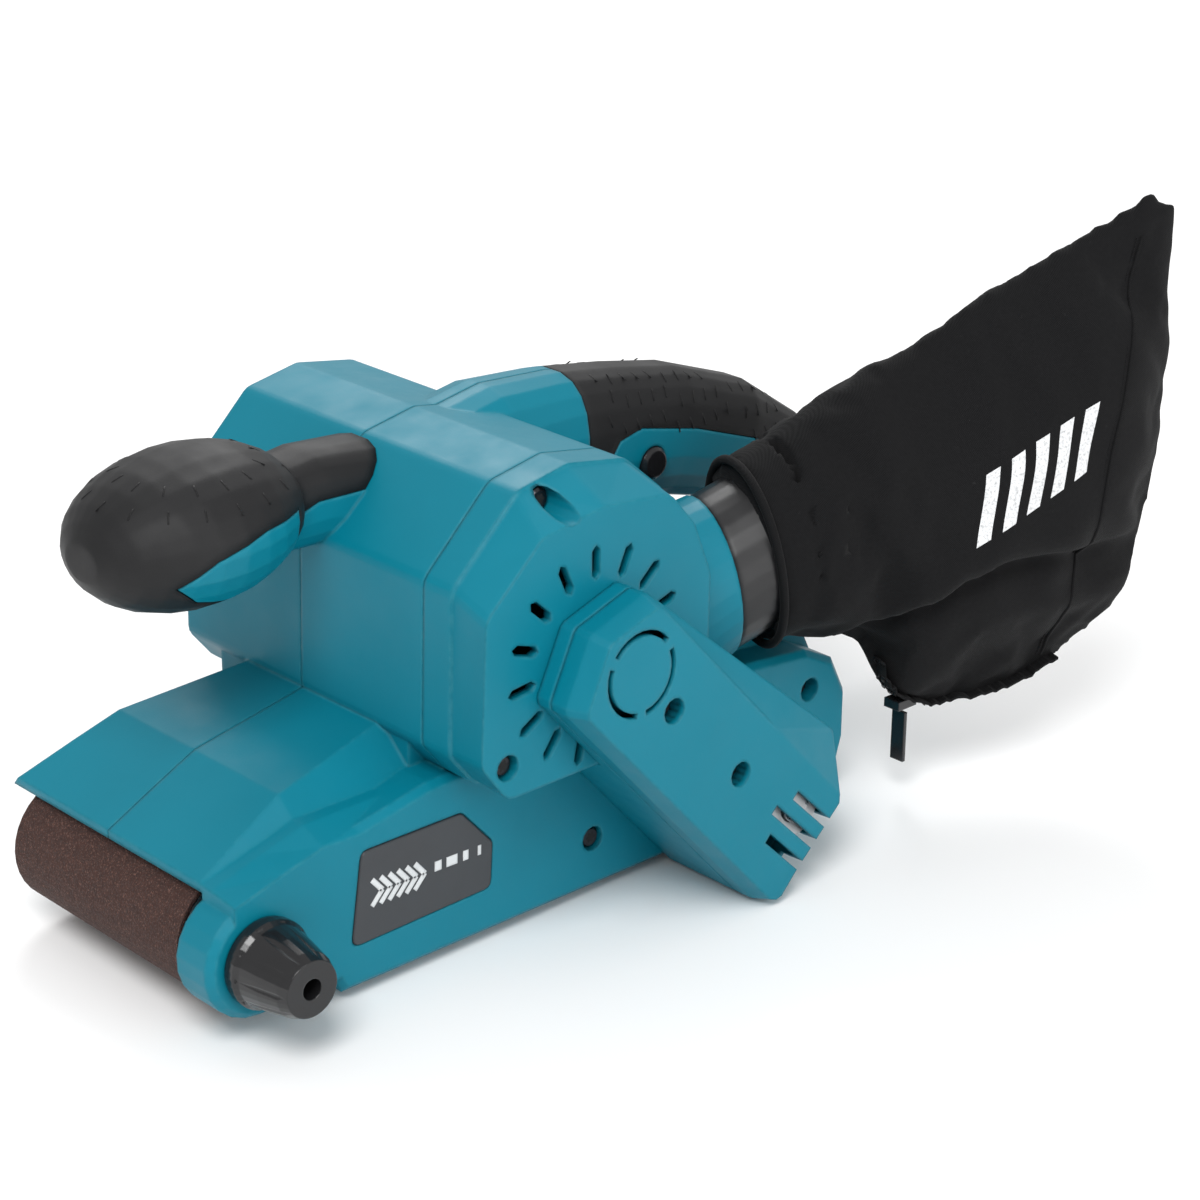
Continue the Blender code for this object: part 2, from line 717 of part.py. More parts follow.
def vent_slots(inner, outer, y_from, y_to):
    """Slots like rays round the motor's axis."""
    return [prism("vent", slot_outline(MOTOR_CENTRE, 90.0 + 360.0 * k / VENT_COUNT, inner, outer,
                                       VENT_WIDTH, 2), y_from, y_to) for k in range(VENT_COUNT)]


def housing_hollows():
    """Everything taken out of the housing: belt room, motor bay, dust way and seats."""
    tools = [belt_tunnel()]
    tools.append(rod("bay", MOTOR_BAY_RADIUS, BARREL_LEFT_Y - 30.0, BARREL_RIGHT_Y - BARREL_WALL,
                     MOTOR_CENTRE, ROUND))
    tools.append(dust_pipe("bore", (PORT_BORE, PORT_BORE), -30.0, 20.0))
    tools.append(rod("drum_bearing_seat", DRUM_BEARING_RADIUS + GAP, WALL_Y + 2.5,
                     CASING_INNER_Y + 1.0, DRUM_CENTRE))
    tools.append(rod("shaft_hole", DRUM_SHAFT_RADIUS + 1.0, WALL_Y - 5.0, WALL_Y + 5.0, DRUM_CENTRE))
    tools.append(rod("adjuster_hole", ADJUSTER_RADIUS + GAP, WALL_Y - 5.0, CASING_INNER_Y + 5.0,
                     NOSE_CENTRE))
    tools.append(box("switch_room", *SWITCH_ROOM))
    tools.append(box("trigger_slot", (TRIGGER_X[0] - 1.0, -TRIGGER_HALF - 1.0, 80.0),
                     (TRIGGER_X[1] + 1.0, TRIGGER_HALF + 1.0, SWITCH_ROOM[0][2] + 1.0)))
    tools.append(rod("lock_hole", LOCK_RADIUS + GAP, -40.0, -5.0, LOCK_CENTRE))
    tools.append(gland_room())
    tools.append(prism("label_seat", offset(label_outline(), GAP), WALL_Y - 5.0, WALL_Y + 0.8))
    for centre, head_y in SIDE_SCREWS:
        tools.append(screw_room("screw_room", centre, head_y, SIDE_SCREW_LENGTH))
    for centre, head_y in END_SCREWS:
        tools.append(rod("pilot", SCREW_SHANK + GAP, BARREL_LEFT_Y - 5.0,
                         BARREL_LEFT_Y + END_SCREW_BITE + 1.0, centre, 12))
    tools.append(gather("right_vents", vent_slots(16.0, 29.0, BARREL_RIGHT_Y - 12.0,
                                                  BARREL_RIGHT_Y + 5.0)))
    return tools


def label_outline():
    """The plate on the left wall, with its upper rear corner cut off."""
    return rounded([(-56.5, 15.8), (-7.6, 16.8), (-6.8, 30.5), (-17.8, 42.8), (-52.6, 42.9)], 2.5)


def build_housing(look, holder):
    shell = housing_outer()
    cut(shell, *housing_hollows())
    join(shell, ring("bearing_seat", RIGHT_BEARING_RADIUS + GAP + 3.0, RIGHT_BEARING_RADIUS + GAP,
                     RIGHT_BEARING_Y[0], BARREL_RIGHT_Y - BARREL_WALL + 1.0, MOTOR_CENTRE))
    right = copy_of(shell, "right")
    cut(shell, box("right_room", (-200.0, -GAP / 2, -50.0), (250.0, 150.0, 250.0)))
    cut(right, box("left_room", (-200.0, -150.0, -50.0), (250.0, GAP / 2, 250.0)))
    finish(shell, "housing_left", look, holder)
    finish(right, "housing_right", look, holder)


# ---------------------------------------------------------------- screws
def screw_room(name, centre, head_y, length):
    """The room for a screw that is driven along +Y: its head's recess and its pilot hole."""
    seat = head_y + SCREW_HEAD_DEPTH + GAP
    end = head_y + length + GAP
    shank = SCREW_SHANK + GAP
    head = SCREW_HEAD + 2.0 * GAP
    return turned(name, [(0.0, head_y - 30.0), (head, head_y - 30.0), (head, seat), (shank, seat),
                         (shank, end), (0.0, end)], centre, 12)


def build_screw(name, centre, head_y, length, look, holder):
    seat = head_y + SCREW_HEAD_DEPTH
    item = turned(name, [(0.0, head_y + 0.8), (0.8, head_y), (SCREW_HEAD - 0.6, head_y),
                         (SCREW_HEAD, head_y + 0.7), (SCREW_HEAD, seat), (SCREW_SHANK, seat),
                         (SCREW_SHANK, head_y + length - 1.5), (0.0, head_y + length)], centre, 12)
    return finish(item, name, look, holder)


def build_screws(look, holder):
    for k, (centre, head_y) in enumerate(SIDE_SCREWS, 1):
        build_screw(f"casing_screw_{k}", centre, head_y, SIDE_SCREW_LENGTH, look, holder)
    for k, (centre, head_y) in enumerate(END_SCREWS, 1):
        length = BARREL_LEFT_Y + END_SCREW_BITE - head_y
        build_screw(f"end_cover_screw_{k}", centre, head_y, length, look, holder)
    for k, place in enumerate(COVER_SCREWS, 1):
        build_screw(f"drive_cover_screw_{k}", guard_point(*place), COVER_SCREW_Y,
                    COVER_SCREW_LENGTH, look, holder)


# ---------------------------------------------------------------- motor end cover and belt guard
def layered(name, levels):
    """A solid through outlines that match corner for corner, one at each y."""
    return loft(name, [[(x, y, z) for x, z in outline] for y, outline in levels])


def end_cover_form(name, grow, y_from, y_to):
    """The end cover's outside, or its hollow when grown by a negative amount."""
    base = rounded(offset(barrel_outline(), grow), 5.0, 2)
    collar = rounded(offset(barrel_outline(), grow - 0.8), 5.0, 2)
    face = rounded(offset(end_face_outline(), grow), 5.0, 2)
    rim_y = BARREL_LEFT_Y - END_STEP_DEPTH
    return layered(name, [(y_from, base), (rim_y, base), (rim_y - 0.3, collar), (y_to, face)])


def build_end_cover(look, holder):
    """The vented cover at the motor's left end, with the armature's bearing seat."""
    face_y = BARREL_LEFT_Y - END_COVER_DEPTH
    inner_y = face_y + END_WALL
    cover = end_cover_form("cover", 0.0, BARREL_LEFT_Y - GAP, face_y)
    cut(cover, end_cover_form("hollow", -END_WALL, BARREL_LEFT_Y + 5.0, inner_y))
    for k, (centre, head_y) in enumerate(END_SCREWS):
        boss = rod("boss", SCREW_HEAD + 2.4, BARREL_LEFT_Y - GAP, face_y + 1.0, centre)
        keep_inside(boss, end_cover_form("limit", -0.5, BARREL_LEFT_Y + 5.0, face_y))
        join(cover, boss)
        cut(cover, screw_room("room", centre, head_y, BARREL_LEFT_Y - head_y + 5.0))
    seat = LEFT_BEARING_RADIUS + GAP
    join(cover, ring("seat", seat + 3.0, seat, LEFT_BEARING_Y[1] + 0.5, inner_y - 1.0, MOTOR_CENTRE))
    cut(cover, rod("shaft_hole", MOTOR_SHAFT_RADIUS + 1.0, face_y - 5.0, inner_y + 1.0,
                   MOTOR_CENTRE))
    shown = [item for item in range(VENT_COUNT) if not vent_is_covered(item)]
    slots = [prism("vent", slot_outline(MOTOR_CENTRE, vent_angle(k), VENT_INNER, VENT_OUTER,
                                        VENT_WIDTH, 2), face_y - 5.0, inner_y + 2.0) for k in shown]
    cut(cover, gather("vents", slots))
    return finish(cover, "motor_end_cover", look, holder)


def vent_angle(k):
    return 90.0 + 360.0 * k / VENT_COUNT


def vent_is_covered(k):
    """Slots behind the belt guard are left out of the end cover."""
    turn = (vent_angle(k) + 180.0) % 360.0 - 180.0
    return -95.0 < turn < 0.0


def guard_outline(grow=0.0):
    """The belt guard seen from the left: square nose round the motor's axis, slanted tail."""
    points = [(-18.0, 0.3), (-10.8, -20.2), (97.0, -26.8), (101.8, -23.8), (102.0, -14.0),
              (103.6, 12.5), (90.0, 26.6), (-8.4, 19.0)]
    return rounded([guard_point(u, v) for u, v in offset(points, grow)], 2.0, 1)


def guard_face_outline(grow=0.0):
    """The guard's flat face, corner for corner with its outline."""
    points = [(-16.3, 0.3), (-9.4, -18.4), (96.4, -24.8), (100.3, -23.1), (100.2, -14.2),
              (101.8, 11.9), (60.0, 13.7), (-7.6, 17.3)]
    return rounded([guard_point(u, v) for u, v in offset(points, grow)], 2.0, 1)


def build_cover_base(look, holder):
    """The fixed half of the belt guard: a floor over the end cover and walls to the casing."""
    base = prism("base", guard_outline(), WALL_Y - GAP, COVER_SPLIT_Y)
    cut(base, prism("front_room", guard_outline(-COVER_WALL), COVER_SPLIT_Y - 5.0, GUARD_FLOOR_Y))
    cut(base, prism("rear_room", guard_outline(-COVER_WALL), GUARD_FLOOR_Y + COVER_WALL,
                    WALL_Y + 5.0))
    cut(base, end_cover_form("motor_room", GAP, WALL_Y + 8.0,
                             BARREL_LEFT_Y - END_COVER_DEPTH - GAP))
    room = PORT_RADIUS + 1.5
    cut(base, dust_pipe("port_room", (room + PORT_FLARE, room), -PORT_LENGTH, 0.0),
        dust_pipe("collar_room", (room, room), -1.0, 40.0))
    cut(base, rod("motor_hole", MOTOR_SHAFT_RADIUS + 2.0, GUARD_FLOOR_Y - 5.0, WALL_Y,
                  MOTOR_CENTRE))
    cut(base, rod("drum_hole", DRUM_SHAFT_RADIUS + 2.0, GUARD_FLOOR_Y - 5.0, WALL_Y, DRUM_CENTRE))
    for place in COVER_SCREWS:
        centre = guard_point(*place)
        post = rod("post", COVER_BOSS_RADIUS, GUARD_POST_Y, GUARD_FLOOR_Y + 1.0, centre)
        cut(post, rod("pilot", SCREW_SHANK + GAP, GUARD_POST_Y - 5.0, GUARD_FLOOR_Y - 0.3, centre,
                      12))
        join(base, post)
    return finish(base, "drive_cover_base", look, holder)


def ring_slot(centre, inner, outer, start, end, steps=8):
    """A slot bent round a centre, square at its ends."""
    back = arc(centre, outer, start, end, steps)
    return back + list(reversed(arc(centre, inner, start, end, steps)))


def build_drive_cover(look, holder):
    """The belt guard's cover: faceted face, three vents through its end, a ring of slots."""
    bend_y = COVER_FACE_Y + 6.5
    inner_y = COVER_FACE_Y + COVER_WALL
    cover = layered("cover", [(COVER_SPLIT_Y - GAP, guard_outline()), (bend_y, guard_outline()),
                              (COVER_FACE_Y, guard_face_outline())])
    cut(cover, layered("hollow", [(COVER_SPLIT_Y + 5.0, guard_outline(-COVER_WALL)),
                                  (bend_y, guard_outline(-COVER_WALL)),
                                  (inner_y, guard_face_outline(-COVER_WALL))]))
    for place in COVER_SCREWS:
        centre = guard_point(*place)
        join(cover, rod("boss", COVER_BOSS_RADIUS, COVER_FACE_Y + 1.0, GUARD_POST_Y - GAP, centre))
        cut(cover, screw_room("room", centre, COVER_SCREW_Y, 12.0))
    slots = []
    for start, across in ((82.3, 3.1), (77.4, -4.1), (81.4, -11.6)):
        corners = [(start, across - 1.5), (108.0, across - 1.5), (108.0, across + 1.5),
                   (start, across + 1.5)]
        slots.append(prism("slot", [guard_point(u, v) for u, v in corners], COVER_FACE_Y - 5.0,
                           COVER_FACE_Y + 8.5))
    for k in range(3):
        slots.append(prism("arc", ring_slot(MOTOR_CENTRE, 10.8, 12.4, 120.0 * k + 38.0,
                                            120.0 * k + 142.0), COVER_FACE_Y - 5.0, inner_y + 1.0))
    cut(cover, gather("slots", slots))
    return finish(cover, "drive_cover", look, holder)


# ---------------------------------------------------------------- drive train
def build_drive_drum(metal, rubber, steel, holder):
    """The rubber-faced rear drum on its shaft, with the driven pulley."""
    sleeve = DRUM_RADIUS_OUT - BELT_THICKNESS - GAP
    core = sleeve - DRUM_SLEEVE - GAP
    hole = DRUM_SHAFT_RADIUS + GAP
    drum = turned("drum", [(hole, -DRUM_HALF), (core, -DRUM_HALF), (core, DRUM_HALF),
                           (core - 4.0, DRUM_HALF), (core - 4.0, -DRUM_HALF + 6.0),
                           (hole + 4.5, -DRUM_HALF + 6.0), (hole + 4.5, 12.0), (hole, 12.0)],
                  DRUM_CENTRE, ROUND, closed=True)
    finish(drum, "drive_drum_core", metal, holder)
    finish(ring("sleeve", sleeve, sleeve - DRUM_SLEEVE, -DRUM_HALF, DRUM_HALF, DRUM_CENTRE),
           "drive_drum_sleeve", rubber, holder)
    shaft = DRUM_SHAFT_RADIUS
    item = turned("shaft", [(0.0, SHAFT_END_Y), (shaft, SHAFT_END_Y), (shaft, 12.5),
                            (shaft + 2.5, 12.5), (shaft + 2.5, 16.0), (0.0, 16.0)],
                  DRUM_CENTRE, SMALL_ROUND)
    finish(item, "drive_shaft", steel, holder)
    finish(pulley("pulley", PULLEY_DRUM_RADIUS, hole, DRUM_CENTRE), "driven_pulley", metal, holder)


def pulley(name, radius, hole, centre):
    """A ribbed-belt pulley: three V grooves between two low flanges."""
    half = DRIVE_BELT_WIDTH / 2.0 + 0.3
    middle = PULLEY_Y
    flange = radius + 0.9
    profile = [(hole, middle - half - 0.8), (flange, middle - half - 0.8), (flange, middle - half),
               (radius - GAP, middle - half), (radius - GAP, middle + half),
               (flange, middle + half), (flange, middle + half + 0.8), (hole, middle + half + 0.8)]
    return turned(name, profile, centre, 28, closed=True)


def drive_belt_path(clearance):
    """The ribbed belt's line round both pulleys, counter-clockwise, seen from the left."""
    small = PULLEY_MOTOR_RADIUS + clearance
    large = PULLEY_DRUM_RADIUS + clearance
    lean = math.degrees(DRIVE_LEAN)
    spread = math.degrees(math.acos((PULLEY_MOTOR_RADIUS - PULLEY_DRUM_RADIUS) / DRIVE_SPAN))
    points = arc(DRUM_CENTRE, large, lean - spread, lean + spread, 14)
    points += arc(MOTOR_CENTRE, small, lean + spread, lean + 360.0 - spread, 10)
    return points


def build_drive_belt(look, holder):
    low = PULLEY_Y - DRIVE_BELT_WIDTH / 2.0
    high = PULLEY_Y + DRIVE_BELT_WIDTH / 2.0
    belt = prism("belt", drive_belt_path(DRIVE_BELT_THICKNESS), low, high)
    cut(belt, prism("inside", drive_belt_path(0.0), low - 5.0, high + 5.0))
    return finish(belt, "drive_belt", look, holder)


def build_bearings(look, holder):
    """Ball bearings of the drum's shaft and the armature, as closed rings."""
    hole = DRUM_SHAFT_RADIUS + GAP
    finish(bearing("left", DRUM_BEARING_RADIUS, hole, WALL_Y + 2.8, WALL_Y + 8.0,
                   DRUM_CENTRE),
           "drum_bearing_outer", look, holder)
    finish(bearing("right", DRUM_BEARING_RADIUS, hole, CASING_INNER_Y - 5.5,
                   CASING_INNER_Y - GAP, DRUM_CENTRE),
           "drum_bearing_inner", look, holder)
    hole = MOTOR_SHAFT_RADIUS + GAP
    finish(bearing("left", LEFT_BEARING_RADIUS, hole, *LEFT_BEARING_Y, MOTOR_CENTRE),
           "armature_bearing_left", look, holder)
    finish(bearing("right", RIGHT_BEARING_RADIUS, hole, *RIGHT_BEARING_Y, MOTOR_CENTRE),
           "armature_bearing_right", look, holder)


def bearing(name, outer, inner, y_from, y_to, centre):
    return ring(name, outer, inner, y_from, y_to, centre, 24)


# ---------------------------------------------------------------- motor
def armature_outline():
    """The laminated core seen from its end: twelve teeth with slots between them."""
    teeth = 12
    points = []
    for k in range(teeth):
        start = 360.0 * k / teeth
        points += arc(MOTOR_CENTRE, ARMATURE_RADIUS, start + 3.0, start + 27.0, 2)
        points += arc(MOTOR_CENTRE, ARMATURE_RADIUS - 4.5, start + 27.5, start + 32.5, 1)
    return points


def build_armature(core_look, steel, copper, plastic, metal, holder):
    """Everything that spins on the motor's shaft."""
    hole = MOTOR_SHAFT_RADIUS + GAP
    core = prism("core", armature_outline(), -29.0, 11.0)
    cut(core, rod("bore", hole, -35.0, 20.0, MOTOR_CENTRE))
    finish(core, "armature_core", core_look, holder)
    shaft = MOTOR_SHAFT_RADIUS
    end = RIGHT_BEARING_Y[1] + 1.2
    item = turned("shaft", [(0.0, SHAFT_END_Y), (shaft, SHAFT_END_Y), (shaft, end), (0.0, end)],
                  MOTOR_CENTRE, SMALL_ROUND)
    finish(item, "armature_shaft", steel, holder)
    item = turned("commutator", [(hole, 17.0), (COMMUTATOR_RADIUS + 2.0, 17.0),
                                 (COMMUTATOR_RADIUS + 2.0, 19.0), (COMMUTATOR_RADIUS, 19.0),
                                 (COMMUTATOR_RADIUS, 33.0), (hole, 33.0)],
                  MOTOR_CENTRE, 24, closed=True)
    finish(item, "commutator", copper, holder)
    finish(pulley("pulley", PULLEY_MOTOR_RADIUS, hole, MOTOR_CENTRE), "motor_pulley", metal, holder)
    build_fan(plastic, holder)


def build_fan(look, holder):
    """The cooling fan: a disc with straight blades on its outer side."""
    hole = MOTOR_SHAFT_RADIUS + GAP
    low, back = BARREL_LEFT_Y - 10.0, BARREL_LEFT_Y - 0.5
    fan = turned("fan", [(hole, low), (8.0, low), (8.0, back), (FAN_RADIUS, back),
                         (FAN_RADIUS, back + 2.0), (hole, back + 2.0)], MOTOR_CENTRE, 32,
                 closed=True)
    blades = []
    count = 9
    for k in range(count):
        turn = math.radians(360.0 * k / count)
        along = Vector((math.cos(turn), math.sin(turn)))
        side = Vector((-along.y, along.x)) * 0.8
        start = Vector(MOTOR_CENTRE) + along * 10.5
        end = Vector(MOTOR_CENTRE) + along * (FAN_RADIUS - 1.0)
        outline = [tuple(start - side), tuple(end - side), tuple(end + side), tuple(start + side)]
        blades.append(prism("blade", outline, low + 1.0, back + 0.5))
    join(fan, gather("blades", blades))
    return finish(fan, "cooling_fan", look, holder)


def build_stator(look, carbon, brass, holder):
    """The field stack in the barrel, and the two carbon brushes in their holders."""
    outer = MOTOR_BAY_RADIUS - GAP
    finish(ring("stator", outer, STATOR_BORE, -30.0, 12.0, MOTOR_CENTRE), "stator", look, holder)
    for name, way in (("front", -1.0), ("rear", 1.0)):
        holder_box = brush_box("holder", way, COMMUTATOR_RADIUS + 3.0, outer - 0.8, 5.0)
        cut(holder_box, brush_box("channel", way, COMMUTATOR_RADIUS, outer - 3.0, 3.3 + GAP))
        finish(holder_box, f"brush_holder_{name}", brass, holder)
        finish(brush_box("brush", way, COMMUTATOR_RADIUS + GAP, outer - 9.0, 3.3),
               f"carbon_brush_{name}", carbon, holder)


def brush_box(name, way, inner, outer, half):
    """A square bar along X beside the commutator, at a distance from the motor's axis."""
    cx, cz = MOTOR_CENTRE
    x0, x1 = sorted((cx + way * inner, cx + way * outer))
    return box(name, (x0, BRUSH_Y - half, cz - half), (x1, BRUSH_Y + half, cz + half))


# ---------------------------------------------------------------- sanding base
def build_sanding_belt(look, holder):
    half = BELT_WIDTH / 2.0
    belt = prism("belt", belt_path(0.0, DRUM_CENTRE[0]), -half, half)
    cut(belt, prism("inside", belt_path(BELT_THICKNESS, DRUM_CENTRE[0]), -half - 5.0, half + 5.0))
    return finish(belt, "sanding_belt", look, holder)


def build_platen(steel, cork, holder):
    """A thin steel plate with its front edge turned up, and the cork pad over it."""
    low = BELT_THICKNESS + GAP
    pad_top = low + 1.2
    side = DRUM_HALF - 1.0
    finish(box("pad", (-PLATEN_HALF + 2.0, -side, low), (PLATEN_HALF, side, pad_top)),
           "platen_pad", cork, holder)
    z = pad_top + GAP
    toe = -PLATEN_HALF + 1.0
    outline = [(toe, z), (PLATEN_HALF, z), (PLATEN_HALF, z + 1.5), (toe + 0.6, z + 1.5),
               (toe - 3.4, z + 5.0), (toe - 4.6, z + 4.0)]
    finish(prism("plate", outline, -side, side), "platen_plate", steel, holder)


def build_base_frame(look, holder):
    """The cast base inside the belt loop: web on the left, ribs open to the right."""
    front, rear = FRAME_FRONT_X, FRAME_REAR_X
    floor = FRAME_FLOOR_Z
    outline = [(front, floor), (rear, floor), (rear, 22.0), (rear - 7.0, 40.0), (-30.0, 37.5),
               (front, 34.0)]
    frame = prism("frame", outline, FRAME_LEFT_Y, FRAME_RIGHT_Y)
    web_y = FRAME_LEFT_Y + 4.0
    rooms = [[(front + 4.0, floor + 3.5), (-8.0, floor + 3.5), (-8.0, 34.5), (-30.0, 34.0),
              (front + 4.0, 31.0)],
             [(-5.0, floor + 3.5), (15.0, floor + 3.5), (15.0, 35.5), (-5.0, 35.0)],
             [(18.0, floor + 3.5), (rear - 3.0, floor + 3.5), (rear - 3.0, 21.0),
              (rear - 9.0, 36.0), (18.0, 36.0)]]
    cut(frame, gather("rooms", [prism("room", room, web_y, 60.0) for room in rooms]))
    lug_x = LEVER_PIVOT[0]
    for low in (10.5, 27.5):
        join(frame, box("lug", (lug_x - 5.0, FRAME_RIGHT_Y - 4.0, low),
                        (lug_x + 5.0, LEVER_PIVOT[1] + 4.0, low + 4.0)))
    join(frame, box("guide", (front + 3.0, -9.0, 13.0), (-10.0, 9.0, 33.0)))
    cut(frame, box("guide_way", (front - 5.0, -STEM_HALF[0] - GAP, STEM_Z - STEM_HALF[1] - GAP),
                   (-12.0, STEM_HALF[0] + GAP, STEM_Z + STEM_HALF[1] + GAP)))
    cut(frame, pipe("hub_room", (*LEVER_PIVOT, 14.7), (*LEVER_PIVOT, 27.3), LEVER_HUB_RADIUS + 0.6),
        pipe("pin_hole", (*LEVER_PIVOT, 0.0), (*LEVER_PIVOT, 50.0), PIN_RADIUS + GAP, 16))
    return finish(frame, "base_frame", look, holder)


def build_idler(metal, steel, slide, steer, spin):
    """The front roller with its bearings, axle, steering yoke and sprung carriage."""
    outer = IDLER_RADIUS_OUT - BELT_THICKNESS - IDLER_SLACK
    bore = IDLER_BEARING_RADIUS + GAP
    half = DRUM_HALF
    drum = turned("drum", [(bore, -half), (outer - 0.5, -half), (outer, -half / 2), (outer, half / 2),
                           (outer - 0.5, half), (bore, half), (bore, half - 7.0),
                           (bore - 1.5, half - 7.0), (bore - 1.5, -half + 7.0),
                           (bore, -half + 7.0)], IDLER_CENTRE, 36, closed=True)
    finish(drum, "idler_drum", metal, spin)
    axle = IDLER_AXLE_RADIUS
    for name, start in (("left", -half + 0.6), ("right", half - 6.6)):
        finish(bearing("bearing", IDLER_BEARING_RADIUS, axle + GAP, start, start + 6.0,
                       IDLER_CENTRE), f"idler_bearing_{name}", steel, spin)
    end = YOKE_ARM_Y[1] + 0.4
    finish(rod("axle", axle, -end, end, IDLER_CENTRE), "idler_axle", steel, steer)
    build_yoke(metal, steer)
    build_carriage(steel, slide)


def build_yoke(look, holder):
    """A U-shaped yoke: its arms carry the axle, its bar turns on the carriage's pin."""
    inner, outer = YOKE_ARM_Y
    low, high = YOKE_Z
    tip_x = NOSE_CENTRE[0] - 4.0
    back_x = YOKE_PIVOT_X + 2.2
    yoke = box("bar", (YOKE_PIVOT_X - 2.2, -outer, low), (back_x, outer, high))
    for side in (-1.0, 1.0):
        y0, y1 = sorted((side * inner, side * outer))
        join(yoke, box("arm", (tip_x, y0, low), (back_x, y1, high)))
    join(yoke, pipe("hub", (YOKE_PIVOT_X, 0.0, low), (YOKE_PIVOT_X, 0.0, high), 4.0, 20))
    cut(yoke, pipe("pivot", (YOKE_PIVOT_X, 0.0, 0.0), (YOKE_PIVOT_X, 0.0, 60.0), PIN_RADIUS + GAP,
                   16))
    cut(yoke, rod("axle_hole", IDLER_AXLE_RADIUS + GAP, -60.0, 60.0, IDLER_CENTRE))
    return finish(yoke, "idler_yoke", look, holder)


def build_carriage(look, holder):
    """The fork that holds the yoke's pin, on a square stem that slides in the base."""
    low, high = YOKE_Z
    fork_back = YOKE_PIVOT_X + FORK_DEPTH
    carriage = box("stem", (fork_back - 1.0, -STEM_HALF[0], STEM_Z - STEM_HALF[1]),
                   (STEM_END_X, STEM_HALF[0], STEM_Z + STEM_HALF[1]))
    join(carriage, box("back", (fork_back - 2.0, -6.0, low - 3.0), (fork_back, 6.0, high + 3.0)))
    for z in (low - 3.0, high + GAP):
        join(carriage, box("plate", (YOKE_PIVOT_X - 4.0, -6.0, z),
                           (fork_back - 1.0, 6.0, z + 3.0 - GAP)))
    join(carriage, pipe("pin", (YOKE_PIVOT_X, 0.0, low - 2.0), (YOKE_PIVOT_X, 0.0, high + 2.0),
                        PIN_RADIUS, 16))
    return finish(carriage, "idler_carriage", look, holder)


def spring_coil(name, start, end, radius, wire, turns, facets=5, per_turn=9):
    """An open coil along X between two points."""
    start, end = Vector(start), Vector(end)
    sections = []
    steps = int(turns * per_turn)
    for i in range(steps + 1):
        turn = 2.0 * math.pi * i / per_turn
        centre = start.lerp(end, i / steps)
        out = Vector((0.0, math.cos(turn), math.sin(turn)))
        along = Vector((1.0, 0.0, 0.0))
        sections.append([centre + out * (radius + wire * math.cos(2 * math.pi * k / facets))
                         + along * wire * math.sin(2 * math.pi * k / facets)
                         for k in range(facets)])
    return loft(name, sections)


def build_tension(spring_look, lever_look, pin_look, slide, pivot, machine):
    """The spring that pushes the carriage out, and the lever that draws it back."""
    wire = 0.7
    coil = spring_coil("coil", (STEM_END_X + GAP + wire, 0.0, STEM_Z),
                       (-12.0 - GAP - wire, 0.0, STEM_Z), 2.6, wire, 5)
    finish(coil, "tension_spring", spring_look, slide, 60.0)
    x, y = LEVER_PIVOT
    lever = box("arm", (x, y - 1.8, 16.5), (2.0, y + 1.8, 25.5))
    join(lever, pipe("hub", (x, y, 15.0), (x, y, 27.0), LEVER_HUB_RADIUS, 20))
    join(lever, box("tab", (-6.0, y - 1.0, 18.0), (2.0, y + 4.0, 24.0)))
    cut(lever, pipe("hole", (x, y, 0.0), (x, y, 50.0), PIN_RADIUS + GAP, 16))
    finish(lever, "release_lever", lever_look, pivot)
    finish(pipe("pin", (x, y, 10.5), (x, y, 31.5), PIN_RADIUS, 16), "lever_pin", pin_look, machine)


def build_tracking(knob_look, screw_look, holder):
    """The fluted knob on the nose and the screw that steers the front roller."""
    cx, cz = NOSE_CENTRE
    base_y = WALL_Y - GAP
    tip_y = WALL_Y - 21.0
    knob = turned("knob", [(0.0, base_y), (12.3, base_y), (12.6, base_y - 1.2),
                           (12.6, base_y - 3.5), (11.6, base_y - 5.0), (10.6, base_y - 11.0),
                           (9.2, tip_y + 3.0), (8.0, tip_y), (0.0, tip_y)], NOSE_CENTRE, 36)
    flutes = []
    count = 10
    for k in range(count):
        turn = 2.0 * math.pi * k / count
        out = Vector((math.cos(turn), 0.0, math.sin(turn)))
        foot = Vector((cx, base_y - 4.4, cz)) + out * 13.4
        head = Vector((cx, tip_y - 1.0, cz)) + out * 9.6
        flutes.append(pipe("flute", foot, head, 1.7, 8))
    cut(knob, gather("flutes", flutes))
    cut(knob, rod("tip_hole", 3.0, tip_y - 2.0, tip_y + 6.0, NOSE_CENTRE, 16))
    cut(knob, rod("screw_hole", ADJUSTER_RADIUS + GAP, base_y - 9.0, base_y + 2.0, NOSE_CENTRE))
    finish(knob, "tracking_knob", knob_look, holder)
    finish(rod("screw", ADJUSTER_RADIUS, base_y - 8.5, CASING_INNER_Y + GAP, NOSE_CENTRE),
           "tracking_screw", screw_look, holder)


